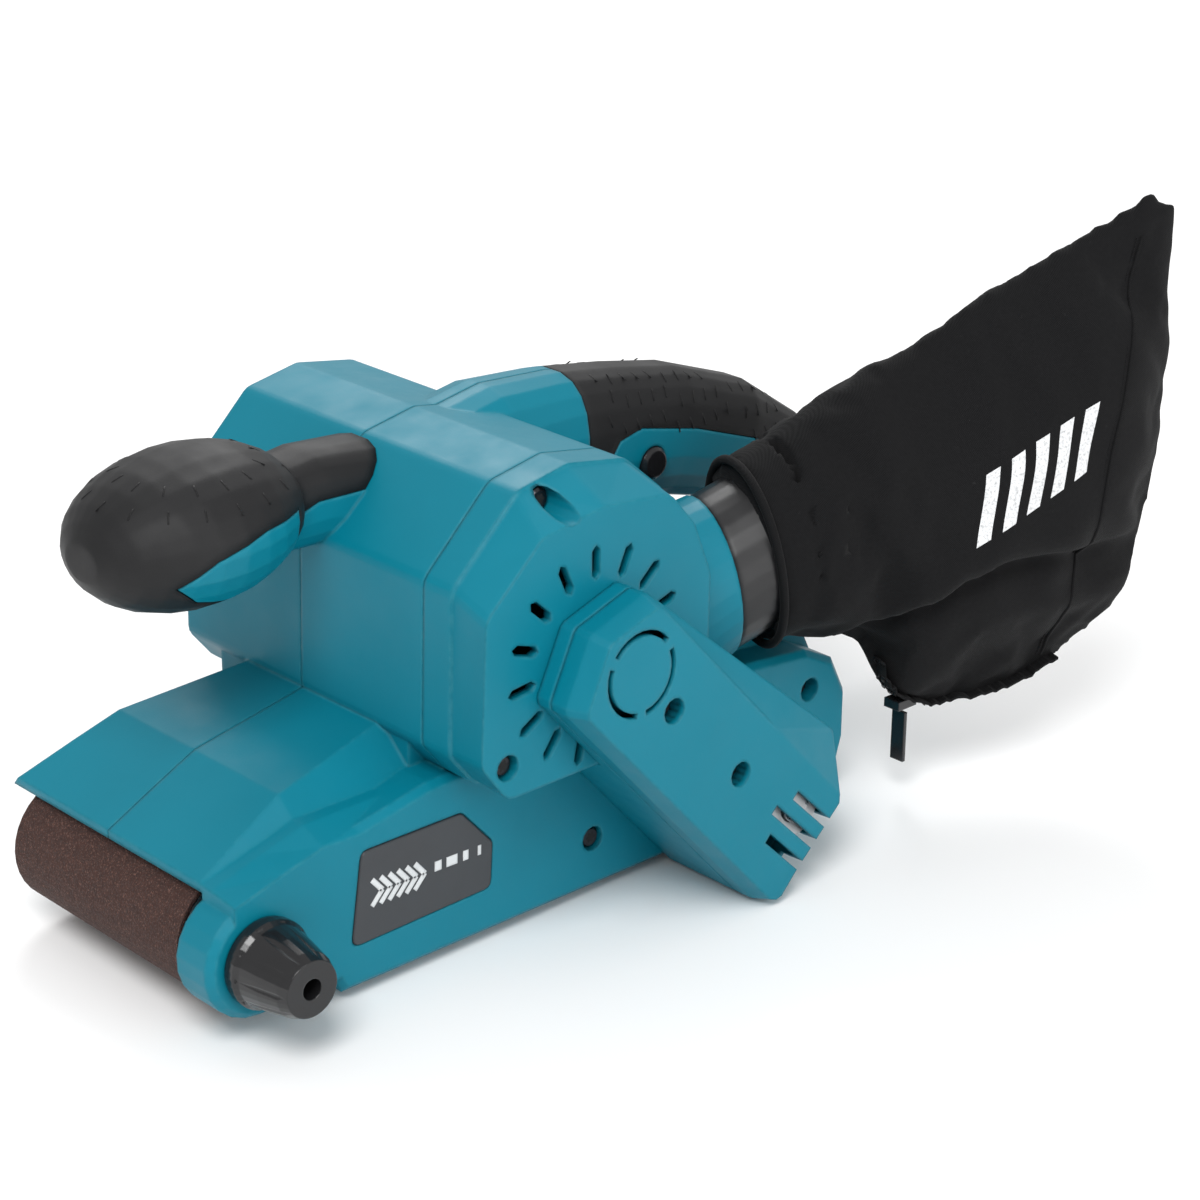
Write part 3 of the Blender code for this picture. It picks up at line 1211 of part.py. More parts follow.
# ---------------------------------------------------------------- switch and cord inlet
def build_switch(plastic, button_look, machine, pivot, slide):
    """The switch block in the handle, the trigger under it and the lock-on button."""
    (x0, y0, z0), (x1, y1, z1) = SWITCH_ROOM
    body = box("switch", (x0 + 1.0, -7.0, z0 + 5.5), (x1 - 1.0, 7.0, z1 - 1.0))
    join(body, box("terminals", (x1 - 5.0, -4.0, z0 + 1.5), (x1 - 2.0, 4.0, z0 + 8.0)))
    finish(body, "switch_body", plastic, machine)
    px, pz = TRIGGER_PIVOT
    start, end = TRIGGER_X
    lever = [(start, z0 - 0.6), (start, 91.0), (start + 4.0, 86.0), (start + 12.0, 83.5),
             (end - 5.0, 84.5), (end, 88.5), (end, z0 - 0.6)]
    finish(prism("trigger", lever, -TRIGGER_HALF, TRIGGER_HALF), "trigger", button_look, pivot)
    x, z = LOCK_CENTRE
    face_y = -HANDLE_HALF_WIDTH - 0.8
    button = turned("button", [(0.0, face_y), (LOCK_RADIUS - 1.0, face_y),
                               (LOCK_RADIUS, face_y + 1.0), (LOCK_RADIUS, -11.0), (0.0, -11.0)],
                    LOCK_CENTRE, 24)
    finish(button, "lock_button", button_look, slide)


def gland_room():
    """The hole for the cord's inlet, through the handle's rear end."""
    return pipe("gland_room", (150.0, 0.0, GLAND_Z), (195.0, 0.0, GLAND_Z), GLAND_RADIUS + GAP)


def build_gland(look, holder):
    """The cord's inlet at the rear end of the handle."""
    start, end = (158.0, 0.0, GLAND_Z), (186.0, 0.0, GLAND_Z)
    gland = pipe("gland", start, end, GLAND_RADIUS)
    join(gland, pipe("collar", (183.0, 0.0, GLAND_Z), end, GLAND_RADIUS + 1.8))
    cut(gland, pipe("cord_hole", (150.0, 0.0, GLAND_Z), (195.0, 0.0, GLAND_Z), 4.0))
    return finish(gland, "cord_gland", look, holder)


def build_label(look, holder):
    plate = tapered("label", label_outline(), [(WALL_Y - 0.3, 0.3), (WALL_Y, 0.0),
                                               (WALL_Y + 0.5, 0.0)])
    return finish(plate, "label_plate", look, holder)


# ---------------------------------------------------------------- dust collector
def build_collar(look, holder):
    """The push-in collar of the dust bag: a spigot in the port and a sleeve for the bag."""
    collar = dust_pipe("collar", (COLLAR_RADIUS, COLLAR_RADIUS), 0.4,
                       COLLAR_SHOWN + COLLAR_HIDDEN)
    spigot = PORT_BORE - 0.5
    join(collar, dust_pipe("spigot", (spigot, spigot), -16.0, 3.0))
    cut(collar, dust_pipe("bore", (spigot - 2.0, spigot - 2.0), -25.0, 40.0))
    return finish(collar, "dust_collar", look, holder)


def bag_ring(station, facets=20, power=2.2):
    """A cross-section of the bag: distance behind the port, low and high z, half thickness."""
    along, low, high, half = station
    way = Vector((math.cos(math.radians(PORT_SWING)), -math.sin(math.radians(PORT_SWING)), 0.0))
    side = Vector((-way.y, way.x, 0.0))
    middle = Vector(PORT_CENTRE) + way * along
    middle.z = (low + high) / 2.0
    points = []
    for k in range(facets):
        turn = 2.0 * math.pi * k / facets
        c, s = math.cos(turn), math.sin(turn)
        wide = math.copysign(abs(c) ** (2.0 / power), c) * half
        tall = math.copysign(abs(s) ** (2.0 / power), s) * (high - low) / 2.0
        points.append(middle + side * wide + Vector((0.0, 0.0, tall)))
    return points


BAG_STATIONS = (                # distance behind the port, low z, high z, half thickness
    (12.5, 61.0, 113.0, 25.2), (24.0, 58.0, 121.0, 25.5), (47.0, 54.5, 136.0, 24.0),
    (56.0, 45.0, 140.5, 22.5), (62.0, 37.0, 143.5, 21.5), (78.0, 32.0, 152.0, 21.0),
    (100.0, 32.0, 163.0, 18.0), (122.0, 37.2, 173.0, 14.0), (138.0, 49.0, 180.0, 9.5),
    (147.5, 71.0, 183.0, 5.5), (152.0, 100.0, 177.0, 2.5))


def build_bag(look, holder):
    """The cloth bag: a shell that hangs below the collar and narrows to its far seam."""
    bag = loft("bag", [bag_ring(station) for station in BAG_STATIONS])
    inside = []
    for along, low, high, half in BAG_STATIONS[1:-1]:
        inside.append(bag_ring((along, low + BAG_CLOTH, high - BAG_CLOTH, half - BAG_CLOTH)))
    cut(bag, loft("inside", inside))
    room = COLLAR_RADIUS + 0.6
    cut(bag, dust_pipe("collar_room", (room, room), 0.0, COLLAR_SHOWN + COLLAR_HIDDEN + 1.0))
    return finish(bag, "dust_bag", look, holder, 60.0)


def bag_point(along, z, out=0.0):
    """A point of the bag's middle plane, or beside it."""
    way = Vector((math.cos(math.radians(PORT_SWING)), -math.sin(math.radians(PORT_SWING)), 0.0))
    side = Vector((-way.y, way.x, 0.0))
    place = Vector(PORT_CENTRE) + way * along + side * out
    place.z = z
    return place


def strip_along(name, stations, drop, thickness, half):
    """A flat strip under the bag, following its lower edge."""
    sections = []
    for along, low in stations:
        top = low - drop
        sections.append([bag_point(along, top, -half), bag_point(along, top, half),
                         bag_point(along, top - thickness, half),
                         bag_point(along, top - thickness, -half)])
    return loft(name, sections)


def bag_low(along):
    """Height of the bag's lower edge at a distance behind the port."""
    for near, far in zip(BAG_STATIONS, BAG_STATIONS[1:]):
        if along <= far[0]:
            share = (along - near[0]) / (far[0] - near[0])
            return near[1] + share * (far[1] - near[1])
    return BAG_STATIONS[-1][1]


def pull_place():
    """The axis on which the zip's pull swings, just under the slider."""
    low = bag_low(SLIDER_ALONG + SLIDER_HALF)
    return bag_point(SLIDER_ALONG, low - 2.0 * GAP - ZIP_TAPE - SLIDER_HEIGHT)


def build_zip(tape_look, metal_look, holder, pivot):
    """The zip along the bag's lower edge, its slider and the pull that hangs from it."""
    lower = [(along, low) for along, low, high, half in BAG_STATIONS[4:8]]
    finish(strip_along("tape", lower, GAP, ZIP_TAPE, 5.0), "zip_tape", tape_look, holder)
    x, y, z = pull_place()
    finish(box("slider", (x - SLIDER_HALF, y - 3.0, z + 0.1),
               (x + SLIDER_HALF, y + 3.0, z + SLIDER_HEIGHT)),
           "zip_slider", metal_look, holder)
    pull = box("pull", (x - 0.6, y - 2.5, z - PULL_LENGTH), (x + 0.6, y + 2.5, z - 1.6))
    finish(pull, "zip_pull", metal_look, pivot)


# ---------------------------------------------------------------- the whole machine
def main():
    clear_scene()
    machine = add_empty("sander", (0.0, 0.0, 0.0))
    motor_axis = add_empty("motor_axis", (MOTOR_CENTRE[0], 0.0, MOTOR_CENTRE[1]), machine)
    drum_axis = add_empty("drum_axis", (DRUM_CENTRE[0], 0.0, DRUM_CENTRE[1]), machine)
    slide = add_empty("carriage_slide", (FRAME_FRONT_X, 0.0, STEM_Z), machine)
    steer = add_empty("steering_pivot", (YOKE_PIVOT_X, 0.0, STEM_Z), slide)
    idler_axis = add_empty("idler_axis", (IDLER_CENTRE[0], 0.0, IDLER_CENTRE[1]), steer)
    lever_pivot = add_empty("lever_pivot", (*LEVER_PIVOT, 21.0), machine)
    knob_axis = add_empty("tracking_axis", (NOSE_CENTRE[0], WALL_Y, NOSE_CENTRE[1]), machine)
    trigger_pivot = add_empty("trigger_pivot", (TRIGGER_PIVOT[0], 0.0, TRIGGER_PIVOT[1]), machine)
    lock_slide = add_empty("lock_slide", (LOCK_CENTRE[0], 0.0, LOCK_CENTRE[1]), machine)
    dust_slide = add_empty("dust_slide", PORT_CENTRE, machine)
    pull_pivot = add_empty("pull_pivot", pull_place(), dust_slide)

    teal = material("teal_plastic", TEAL, 0.45)
    rubber = material("black_rubber", BLACK, 0.7)
    gloss = material("gloss_black_plastic", BLACK, 0.2)
    satin = material("satin_black_plastic", BLACK, 0.4)
    steel = material("steel", STEEL, 0.3, 1.0)
    alloy = material("cast_aluminium", ALLOY, 0.45, 1.0)
    copper = material("copper", COPPER, 0.3, 1.0)
    brass = material("brass", BRASS, 0.35, 1.0)
    iron = material("lamination_steel", IRON, 0.5, 1.0)
    carbon = material("carbon", BLACK, 0.6)
    grit = material("abrasive_cloth", GRIT, 0.9)
    cork = material("cork", CORK, 0.85)
    label = material("label_grey", LABEL_GREY, 0.5)
    cloth = material("black_cloth", BLACK, 0.9)

    build_housing(teal, machine)
    build_front_grip(rubber, machine)
    build_rear_grip(rubber, machine)
    build_end_cover(teal, machine)
    build_cover_base(teal, machine)
    build_drive_cover(teal, machine)
    build_screws(steel, machine)
    build_drive_drum(alloy, rubber, steel, drum_axis)
    build_drive_belt(rubber, machine)
    build_bearings(steel, machine)
    build_armature(iron, steel, copper, satin, alloy, motor_axis)
    build_stator(iron, carbon, brass, machine)
    build_sanding_belt(grit, machine)
    build_platen(steel, cork, machine)
    build_base_frame(alloy, machine)
    build_idler(alloy, steel, slide, steer, idler_axis)
    build_tension(steel, steel, steel, slide, lever_pivot, machine)
    build_tracking(gloss, steel, knob_axis)
    build_switch(satin, gloss, machine, trigger_pivot, lock_slide)
    build_gland(rubber, machine)
    build_label(label, machine)
    build_collar(satin, dust_slide)
    build_bag(cloth, dust_slide)
    build_zip(cloth, steel, dust_slide, pull_pivot)


main()
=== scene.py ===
"""Looks for the handheld belt sander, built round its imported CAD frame.  Metres, +Z up.

The camera and light come first, then the materials, then the pieces that stand for soft or
finely detailed CAD nodes, and last the finish of every CAD node that stays.
"""

import json
import math

import bmesh
import bpy
from mathutils import Matrix, Vector, noise
from mathutils.bvhtree import BVHTree


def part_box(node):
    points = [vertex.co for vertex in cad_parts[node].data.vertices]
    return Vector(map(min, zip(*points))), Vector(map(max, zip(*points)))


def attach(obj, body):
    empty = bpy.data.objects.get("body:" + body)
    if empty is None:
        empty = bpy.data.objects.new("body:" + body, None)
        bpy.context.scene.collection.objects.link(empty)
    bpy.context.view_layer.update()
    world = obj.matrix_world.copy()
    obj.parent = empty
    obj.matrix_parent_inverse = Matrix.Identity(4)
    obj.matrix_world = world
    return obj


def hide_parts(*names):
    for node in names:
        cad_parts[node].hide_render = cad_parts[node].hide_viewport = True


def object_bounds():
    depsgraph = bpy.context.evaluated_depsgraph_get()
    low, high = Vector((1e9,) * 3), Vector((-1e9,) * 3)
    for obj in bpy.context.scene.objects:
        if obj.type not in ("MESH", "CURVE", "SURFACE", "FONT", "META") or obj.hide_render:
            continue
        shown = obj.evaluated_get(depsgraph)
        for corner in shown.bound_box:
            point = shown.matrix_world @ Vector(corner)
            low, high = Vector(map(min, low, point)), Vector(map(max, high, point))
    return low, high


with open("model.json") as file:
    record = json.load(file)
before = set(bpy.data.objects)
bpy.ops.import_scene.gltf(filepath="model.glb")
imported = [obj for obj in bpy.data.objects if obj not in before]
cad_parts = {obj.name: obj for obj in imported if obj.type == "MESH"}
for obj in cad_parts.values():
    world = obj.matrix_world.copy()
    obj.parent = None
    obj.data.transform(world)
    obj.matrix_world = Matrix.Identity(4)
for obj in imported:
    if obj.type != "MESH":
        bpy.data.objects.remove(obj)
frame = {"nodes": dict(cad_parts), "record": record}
CAD_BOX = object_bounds()

MM = 0.001
ROOT = "sander_body"
DUST = "dust_unit"

# ---------------------------------------------------------------- camera
CAMERA_TARGET = Vector((0.040, -0.0487, 0.0870))
CAMERA_DISTANCE = 0.8376
CAMERA_AZIMUTH = -43.354
CAMERA_ELEVATION = 22.367
CAMERA_ROLL = 0.489
CAMERA_LENS = 90.12

# ---------------------------------------------------------------- colours (linear)
TEAL = (0.000, 0.170, 0.240, 1.0)
TEAL_WORN = (0.030, 0.235, 0.300, 1.0)
BLACK = (0.010, 0.010, 0.011, 1.0)
WHITE_PRINT = (0.72, 0.73, 0.74, 1.0)


def place_camera():
    azimuth = math.radians(CAMERA_AZIMUTH)
    elevation = math.radians(CAMERA_ELEVATION)
    back = Vector((math.sin(azimuth) * math.cos(elevation),
                   -math.cos(azimuth) * math.cos(elevation), math.sin(elevation)))
    data = bpy.data.cameras.new("view")
    data.lens = CAMERA_LENS
    data.sensor_width = 36.0
    data.clip_start = 0.01
    camera = bpy.data.objects.new("view", data)
    bpy.context.collection.objects.link(camera)
    turn = (-back).to_track_quat("-Z", "Y").to_matrix().to_4x4()
    roll = Matrix.Rotation(math.radians(CAMERA_ROLL), 4, "Z")
    camera.matrix_world = Matrix.Translation(CAMERA_TARGET + back * CAMERA_DISTANCE) @ turn @ roll
    bpy.context.scene.camera = camera


def add_area(name, place, aim, size, power, colour=(1.0, 1.0, 1.0)):
    data = bpy.data.lights.new(name, "AREA")
    data.shape = "DISK"
    data.size = size
    data.energy = power
    data.color = colour
    lamp = bpy.data.objects.new(name, data)
    bpy.context.collection.objects.link(lamp)
    way = Vector(aim) - Vector(place)
    lamp.matrix_world = Matrix.Translation(Vector(place)) @ \
        way.to_track_quat("-Z", "Y").to_matrix().to_4x4()


def light_stage():
    """Soft studio light: a high key from the left, a low fill from the front, a rim behind."""
    add_area("key", (-0.9, -0.75, 1.5), (0.0, 0.0, 0.08), 0.9, 22.0)
    add_area("fill", (0.2, -1.8, 0.7), (0.03, 0.0, 0.08), 1.2, 9.0)
    add_area("rim", (0.9, 1.1, 1.3), (0.03, 0.0, 0.10), 0.9, 12.0)
    world = bpy.data.worlds.new("studio")
    world.use_nodes = True
    world.node_tree.nodes["Background"].inputs["Color"].default_value = (1.0, 1.0, 1.0, 1.0)
    world.node_tree.nodes["Background"].inputs["Strength"].default_value = 0.65
    bpy.context.scene.world = world
    bpy.context.scene.view_settings.view_transform = "Standard"


def add_floor():
    half = 4.0
    mesh = bpy.data.meshes.new("floor")
    z = CAD_BOX[0][2] - 0.0002
    mesh.from_pydata([(-half, -half, z), (half, -half, z), (half, half, z), (-half, half, z)], [],
                     [(0, 1, 2, 3)])
    floor = bpy.data.objects.new("floor", mesh)
    bpy.context.collection.objects.link(floor)
    kit = Look("pale_floor", (0.93, 0.93, 0.93, 1.0), 0.8)
    kit.bump(kit.noise(40.0, 4.0), 0.02, 0.0005)
    floor.data.materials.append(kit.made)


# ---------------------------------------------------------------- materials
class Look:
    """A Principled material under construction; patterns use object coordinates in metres."""

    def __init__(self, name, colour, roughness, metallic=0.0):
        self.made = bpy.data.materials.new(name)
        self.made.use_nodes = True
        self.tree = self.made.node_tree
        self.shader = self.tree.nodes["Principled BSDF"]
        self.shader.inputs["Base Color"].default_value = colour
        self.shader.inputs["Roughness"].default_value = roughness
        self.shader.inputs["Metallic"].default_value = metallic
        self.space = self.tree.nodes.new("ShaderNodeTexCoord").outputs["Object"]
        self.surface = None

    def link(self, source, target):
        self.tree.links.new(source, target)

    def set(self, **values):
        """Sets the shader's own sockets, with spaces written as underscores."""
        for name, value in values.items():
            self.shader.inputs[name.replace("_", " ")].default_value = value

    def noise(self, scale, detail=2.0, roughness=0.5, stretch=None):
        made = self.tree.nodes.new("ShaderNodeTexNoise")
        made.inputs["Scale"].default_value = scale
        made.inputs["Detail"].default_value = detail
        made.inputs["Roughness"].default_value = roughness
        space = self.space
        if stretch:
            mapping = self.tree.nodes.new("ShaderNodeMapping")
            mapping.inputs["Scale"].default_value = stretch
            self.link(space, mapping.inputs["Vector"])
            space = mapping.outputs["Vector"]
        self.link(space, made.inputs["Vector"])
        return made.outputs["Fac"]

    def cells(self, scale, feature="F1"):
        made = self.tree.nodes.new("ShaderNodeTexVoronoi")
        made.feature = feature
        made.inputs["Scale"].default_value = scale
        self.link(self.space, made.inputs["Vector"])
        return made.outputs["Distance"]

    def math(self, kind, *values):
        made = self.tree.nodes.new("ShaderNodeMath")
        made.operation = kind
        for socket, value in zip(made.inputs, values):
            if isinstance(value, (int, float)):
                socket.default_value = value
            else:
                self.link(value, socket)
        return made.outputs[0]

    def ramp(self, source, low, high, start=0.0, end=1.0):
        """Maps a value from one range to another, held at the ends."""
        made = self.tree.nodes.new("ShaderNodeMapRange")
        made.inputs["From Min"].default_value = start
        made.inputs["From Max"].default_value = end
        made.inputs["To Min"].default_value = low
        made.inputs["To Max"].default_value = high
        self.link(source, made.inputs["Value"])
        return made.outputs["Result"]

    def mix(self, share, one, two):
        """A colour between two, each a colour or a socket."""
        made = self.tree.nodes.new("ShaderNodeMix")
        made.data_type = "RGBA"
        self.link(share, made.inputs["Factor"])
        for socket, value in ((made.inputs[6], one), (made.inputs[7], two)):
            if isinstance(value, tuple):
                socket.default_value = value
            else:
                self.link(value, socket)
        return made.outputs[2]

    def colour(self, source):
        self.link(source, self.shader.inputs["Base Color"])

    def rough(self, source):
        self.link(source, self.shader.inputs["Roughness"])

    def soften(self, radius):
        """Rounds the look of moulded edges; returns a mask that is high along them."""
        bevel = self.tree.nodes.new("ShaderNodeBevel")
        bevel.samples = 4
        bevel.inputs["Radius"].default_value = radius
        flat = self.tree.nodes.new("ShaderNodeNewGeometry")
        match = self.tree.nodes.new("ShaderNodeVectorMath")
        match.operation = "DOT_PRODUCT"
        self.link(bevel.outputs["Normal"], match.inputs[0])
        self.link(flat.outputs["Normal"], match.inputs[1])
        self.surface = bevel.outputs["Normal"]
        self.link(self.surface, self.shader.inputs["Normal"])
        return self.ramp(match.outputs["Value"], 1.0, 0.0, 0.86, 0.995)

    def bump(self, height, strength, distance):
        made = self.tree.nodes.new("ShaderNodeBump")
        made.inputs["Strength"].default_value = strength
        made.inputs["Distance"].default_value = distance
        self.link(height, made.inputs["Height"])
        if self.surface:
            self.link(self.surface, made.inputs["Normal"])
        self.surface = made.outputs["Normal"]
        self.link(self.surface, self.shader.inputs["Normal"])


def teal_plastic(name="teal_plastic"):
    """Moulded plastic with a fine spark texture, slightly paler on worn edges."""
    kit = Look(name, TEAL, 0.42)
    edge = kit.soften(0.0016)
    cloudy = kit.mix(kit.noise(35.0, 4.0), tuple(c * 0.93 for c in TEAL[:3]) + (1.0,),
                     tuple(c * 1.07 for c in TEAL[:3]) + (1.0,))
    broken = kit.math("MULTIPLY", edge, kit.ramp(kit.noise(400.0, 3.0), 0.1, 0.8, 0.35, 0.7))
    kit.colour(kit.mix(broken, cloudy, TEAL_WORN))
    kit.rough(kit.ramp(kit.noise(90.0, 5.0), 0.38, 0.50, 0.3, 0.7))
    kit.bump(kit.noise(2600.0, 2.0), 0.22, 0.00012)
    kit.set(Specular_IOR_Level=0.22)
    return kit.made


def soft_rubber(name="soft_rubber"):
    """Overmoulded grip: matte, very finely pebbled, with a faint dusty bloom."""
    kit = Look(name, BLACK, 0.55)
    kit.soften(0.0035)
    kit.colour(kit.mix(kit.noise(25.0, 5.0), (0.0060, 0.0060, 0.0065, 1.0),
                       (0.0105, 0.0105, 0.0115, 1.0)))
    kit.rough(kit.ramp(kit.noise(60.0, 4.0), 0.46, 0.60, 0.3, 0.7))
    pebbles = kit.math("ADD", kit.cells(1700.0), kit.noise(3200.0))
    kit.bump(pebbles, 0.14, 0.00008)
    kit.set(Specular_IOR_Level=0.30)
    return kit.made


def hard_plastic(name, roughness, colour=BLACK, grain=0.05, round_off=0.0006):
    kit = Look(name, colour, roughness)
    kit.soften(round_off)
    kit.colour(kit.mix(kit.noise(50.0, 3.0), tuple(c * 0.85 for c in colour[:3]) + (1.0,),
                       tuple(c * 1.2 for c in colour[:3]) + (1.0,)))
    kit.rough(kit.ramp(kit.noise(140.0, 4.0), roughness * 0.85, roughness * 1.25, 0.3, 0.7))
    kit.bump(kit.noise(1500.0), grain, 0.0001)
    return kit.made


def metal(name, colour, roughness, stretch=(1.0, 12.0, 1.0), grain=0.12):
    """Machined or cast metal with directional marks and darker stains."""
    kit = Look(name, colour, roughness, 1.0)
    kit.soften(0.0003)
    kit.colour(kit.mix(kit.noise(120.0, 4.0), tuple(c * 0.8 for c in colour[:3]) + (1.0,),
                       colour))
    kit.rough(kit.ramp(kit.noise(300.0, 4.0, stretch=stretch), roughness * 0.7, roughness * 1.4,
                       0.3, 0.7))
    kit.bump(kit.noise(1200.0, 3.0, stretch=stretch), grain, 0.00008)
    return kit.made


def abrasive():
    """Brown grit bonded to cloth: speckled grains under a thin glaze of resin."""
    kit = Look("abrasive_cloth", (0.06, 0.022, 0.014, 1.0), 0.85)
    grains = kit.ramp(kit.cells(1500.0), 1.0, 0.0, 0.0, 0.55)
    dark = kit.mix(kit.noise(500.0, 4.0), (0.016, 0.006, 0.005, 1.0), (0.060, 0.022, 0.015, 1.0))
    sparkle = kit.ramp(kit.noise(1900.0, 2.0), 0.0, 1.0, 0.56, 0.72)
    kit.colour(kit.mix(sparkle, dark, (0.145, 0.070, 0.052, 1.0)))
    kit.rough(kit.ramp(grains, 0.9, 0.62))
    kit.bump(kit.math("ADD", grains, kit.noise(900.0, 3.0)), 0.7, 0.00035)
    return kit.made


def cloth(name, stripes=False):
    """Black plain-weave cloth; the bag's side carries plain slanted stripes as its print."""
    kit = Look(name, BLACK, 0.85)
    split = kit.tree.nodes.new("ShaderNodeSeparateXYZ")
    kit.link(kit.space, split.inputs["Vector"])
    along = kit.math("ADD", kit.math("MULTIPLY", split.outputs["X"], BAG_WAY.x),
                     kit.math("MULTIPLY", split.outputs["Y"], BAG_WAY.y))
    across = kit.math("ADD", kit.math("MULTIPLY", split.outputs["X"], BAG_SIDE.x),
                      kit.math("MULTIPLY", split.outputs["Y"], BAG_SIDE.y))
    up = split.outputs["Z"]
    pitch = 2.0 * math.pi / (0.62 * MM)
    warp = kit.math("SINE", kit.math("MULTIPLY", along, pitch))
    weft = kit.math("SINE", kit.math("MULTIPLY", up, pitch))
    weave = kit.math("MULTIPLY", warp, weft)
    threads = kit.ramp(kit.math("ADD", weave, kit.noise(900.0, 2.0)), 0.0, 1.0, -1.0, 1.6)
    body = kit.mix(threads, (0.0022, 0.0022, 0.0025, 1.0), (0.0085, 0.0085, 0.0092, 1.0))
    lint = kit.ramp(kit.noise(420.0, 6.0, 0.7), 0.0, 0.35, 0.66, 0.80)
    body = kit.mix(lint, body, (0.05, 0.05, 0.05, 1.0))
    if stripes:
        kit.colour(kit.mix(stripe_mask(kit, along, up, across), body, WHITE_PRINT))
    else:
        kit.colour(body)
    kit.rough(kit.ramp(threads, 0.95, 0.8))
    folds = kit.noise(120.0, 4.0)
    kit.bump(folds, 0.12, 0.001)
    kit.bump(kit.math("ADD", weave, kit.noise(1500.0)), 0.35, 0.00012)
    kit.set(Sheen_Weight=0.03, Sheen_Roughness=0.45, Specular_IOR_Level=0.15)
    return kit.made


def stripe_mask(kit, along, up, across):
    """Five slanted bars of rising height on the bag's outer side, a plain printed mark."""
    start = PORT.x * BAG_WAY.x + PORT.y * BAG_WAY.y
    local = kit.math("SUBTRACT", along, start)
    centre_line = kit.math("ADD", kit.math("MULTIPLY", local, PRINT_RISE), PRINT_FOOT)
    height = kit.math("SUBTRACT", up, centre_line)
    lean = kit.math("SUBTRACT", local, kit.math("MULTIPLY", height, PRINT_LEAN))
    place = kit.math("DIVIDE", kit.math("SUBTRACT", lean, PRINT_START), PRINT_PITCH)
    inside = kit.math("LESS_THAN", kit.math("FRACT", place), 0.55)
    first = kit.math("GREATER_THAN", place, 0.0)
    last = kit.math("LESS_THAN", place, PRINT_COUNT - 0.4)
    tall = kit.math("LESS_THAN", kit.math("ABSOLUTE", height), PRINT_HALF)
    left = kit.math("GREATER_THAN", across, PORT.dot(BAG_SIDE))
    mask = kit.math("MULTIPLY", kit.math("MULTIPLY", inside, first),
                    kit.math("MULTIPLY", kit.math("MULTIPLY", last, tall), left))
    worn = kit.ramp(kit.noise(1300.0, 3.0), 0.55, 1.0, 0.25, 0.5)
    return kit.math("MULTIPLY", mask, worn)


# ---------------------------------------------------------------- shared shapes
def make_piece(name, vertices, faces, look, body, smooth=True):
    """A mesh object from points in metres, riding on a CAD body."""
    mesh = bpy.data.meshes.new(name)
    mesh.from_pydata([tuple(v) for v in vertices], [], faces)
    mesh.update()
    work = bmesh.new()
    work.from_mesh(mesh)
    bmesh.ops.recalc_face_normals(work, faces=work.faces)
    work.to_mesh(mesh)
    work.free()
    for face in mesh.polygons:
        face.use_smooth = smooth
    mesh.materials.append(look)
    piece = bpy.data.objects.new(name, mesh)
    bpy.context.collection.objects.link(piece)
    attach(piece, body)
    return piece


def add_block(vertices, faces, centre, x_way, y_way, z_way, chamfer=0.25):
    """Adds a chamfered block to lists; the ways are half extents, z the raised side."""
    first = len(vertices)
    inset = 1.0 - chamfer
    for height, shrink in ((-1.0, 1.0), (0.4, 1.0), (1.0, inset)):
        for sx, sy in ((-1, -1), (1, -1), (1, 1), (-1, 1)):
            vertices.append(centre + x_way * (sx * shrink) + y_way * (sy * shrink)
                            + z_way * height)
    faces.append((first + 3, first + 2, first + 1, first))
    faces.append((first + 8, first + 9, first + 10, first + 11))
    for level in (0, 4):
        for k in range(4):
            n = (k + 1) % 4
            faces.append((first + level + k, first + level + n, first + level + 4 + n,
                          first + level + 4 + k))


def add_tube(vertices, faces, path, radius, sides=8, closed=False):
    """Adds a round bar that follows points."""
    first = len(vertices)
    count = len(path)
    normal = None
    for i, point in enumerate(path):
        ahead = path[(i + 1) % count] if closed or i < count - 1 else path[i]
        behind = path[i - 1] if closed or i > 0 else path[i]
        way = (ahead - behind).normalized()
        if normal is None:
            normal = way.orthogonal().normalized()
        normal = (normal - way * normal.dot(way)).normalized()
        other = way.cross(normal)
        for k in range(sides):
            turn = 2.0 * math.pi * k / sides
            vertices.append(point + (normal * math.cos(turn) + other * math.sin(turn)) * radius)
    for i in range(count if closed else count - 1):
        a = first + i * sides
        b = first + ((i + 1) % count) * sides
        for k in range(sides):
            n = (k + 1) % sides
            faces.append((a + k, a + n, b + n, b + k))
    if not closed:
        faces.append(tuple(first + k for k in reversed(range(sides))))
        faces.append(tuple(first + (count - 1) * sides + k for k in range(sides)))


def surface_tree(names):
    """A search tree over the given CAD nodes' surfaces, for laying detail on them."""
    points, faces = [], []
    for name in names:
        mesh = frame["nodes"][name].data
        first = len(points)
        points.extend(v.co.copy() for v in mesh.vertices)
        faces.extend(tuple(first + k for k in f.vertices) for f in mesh.polygons)
    return BVHTree.FromPolygons(points, faces)


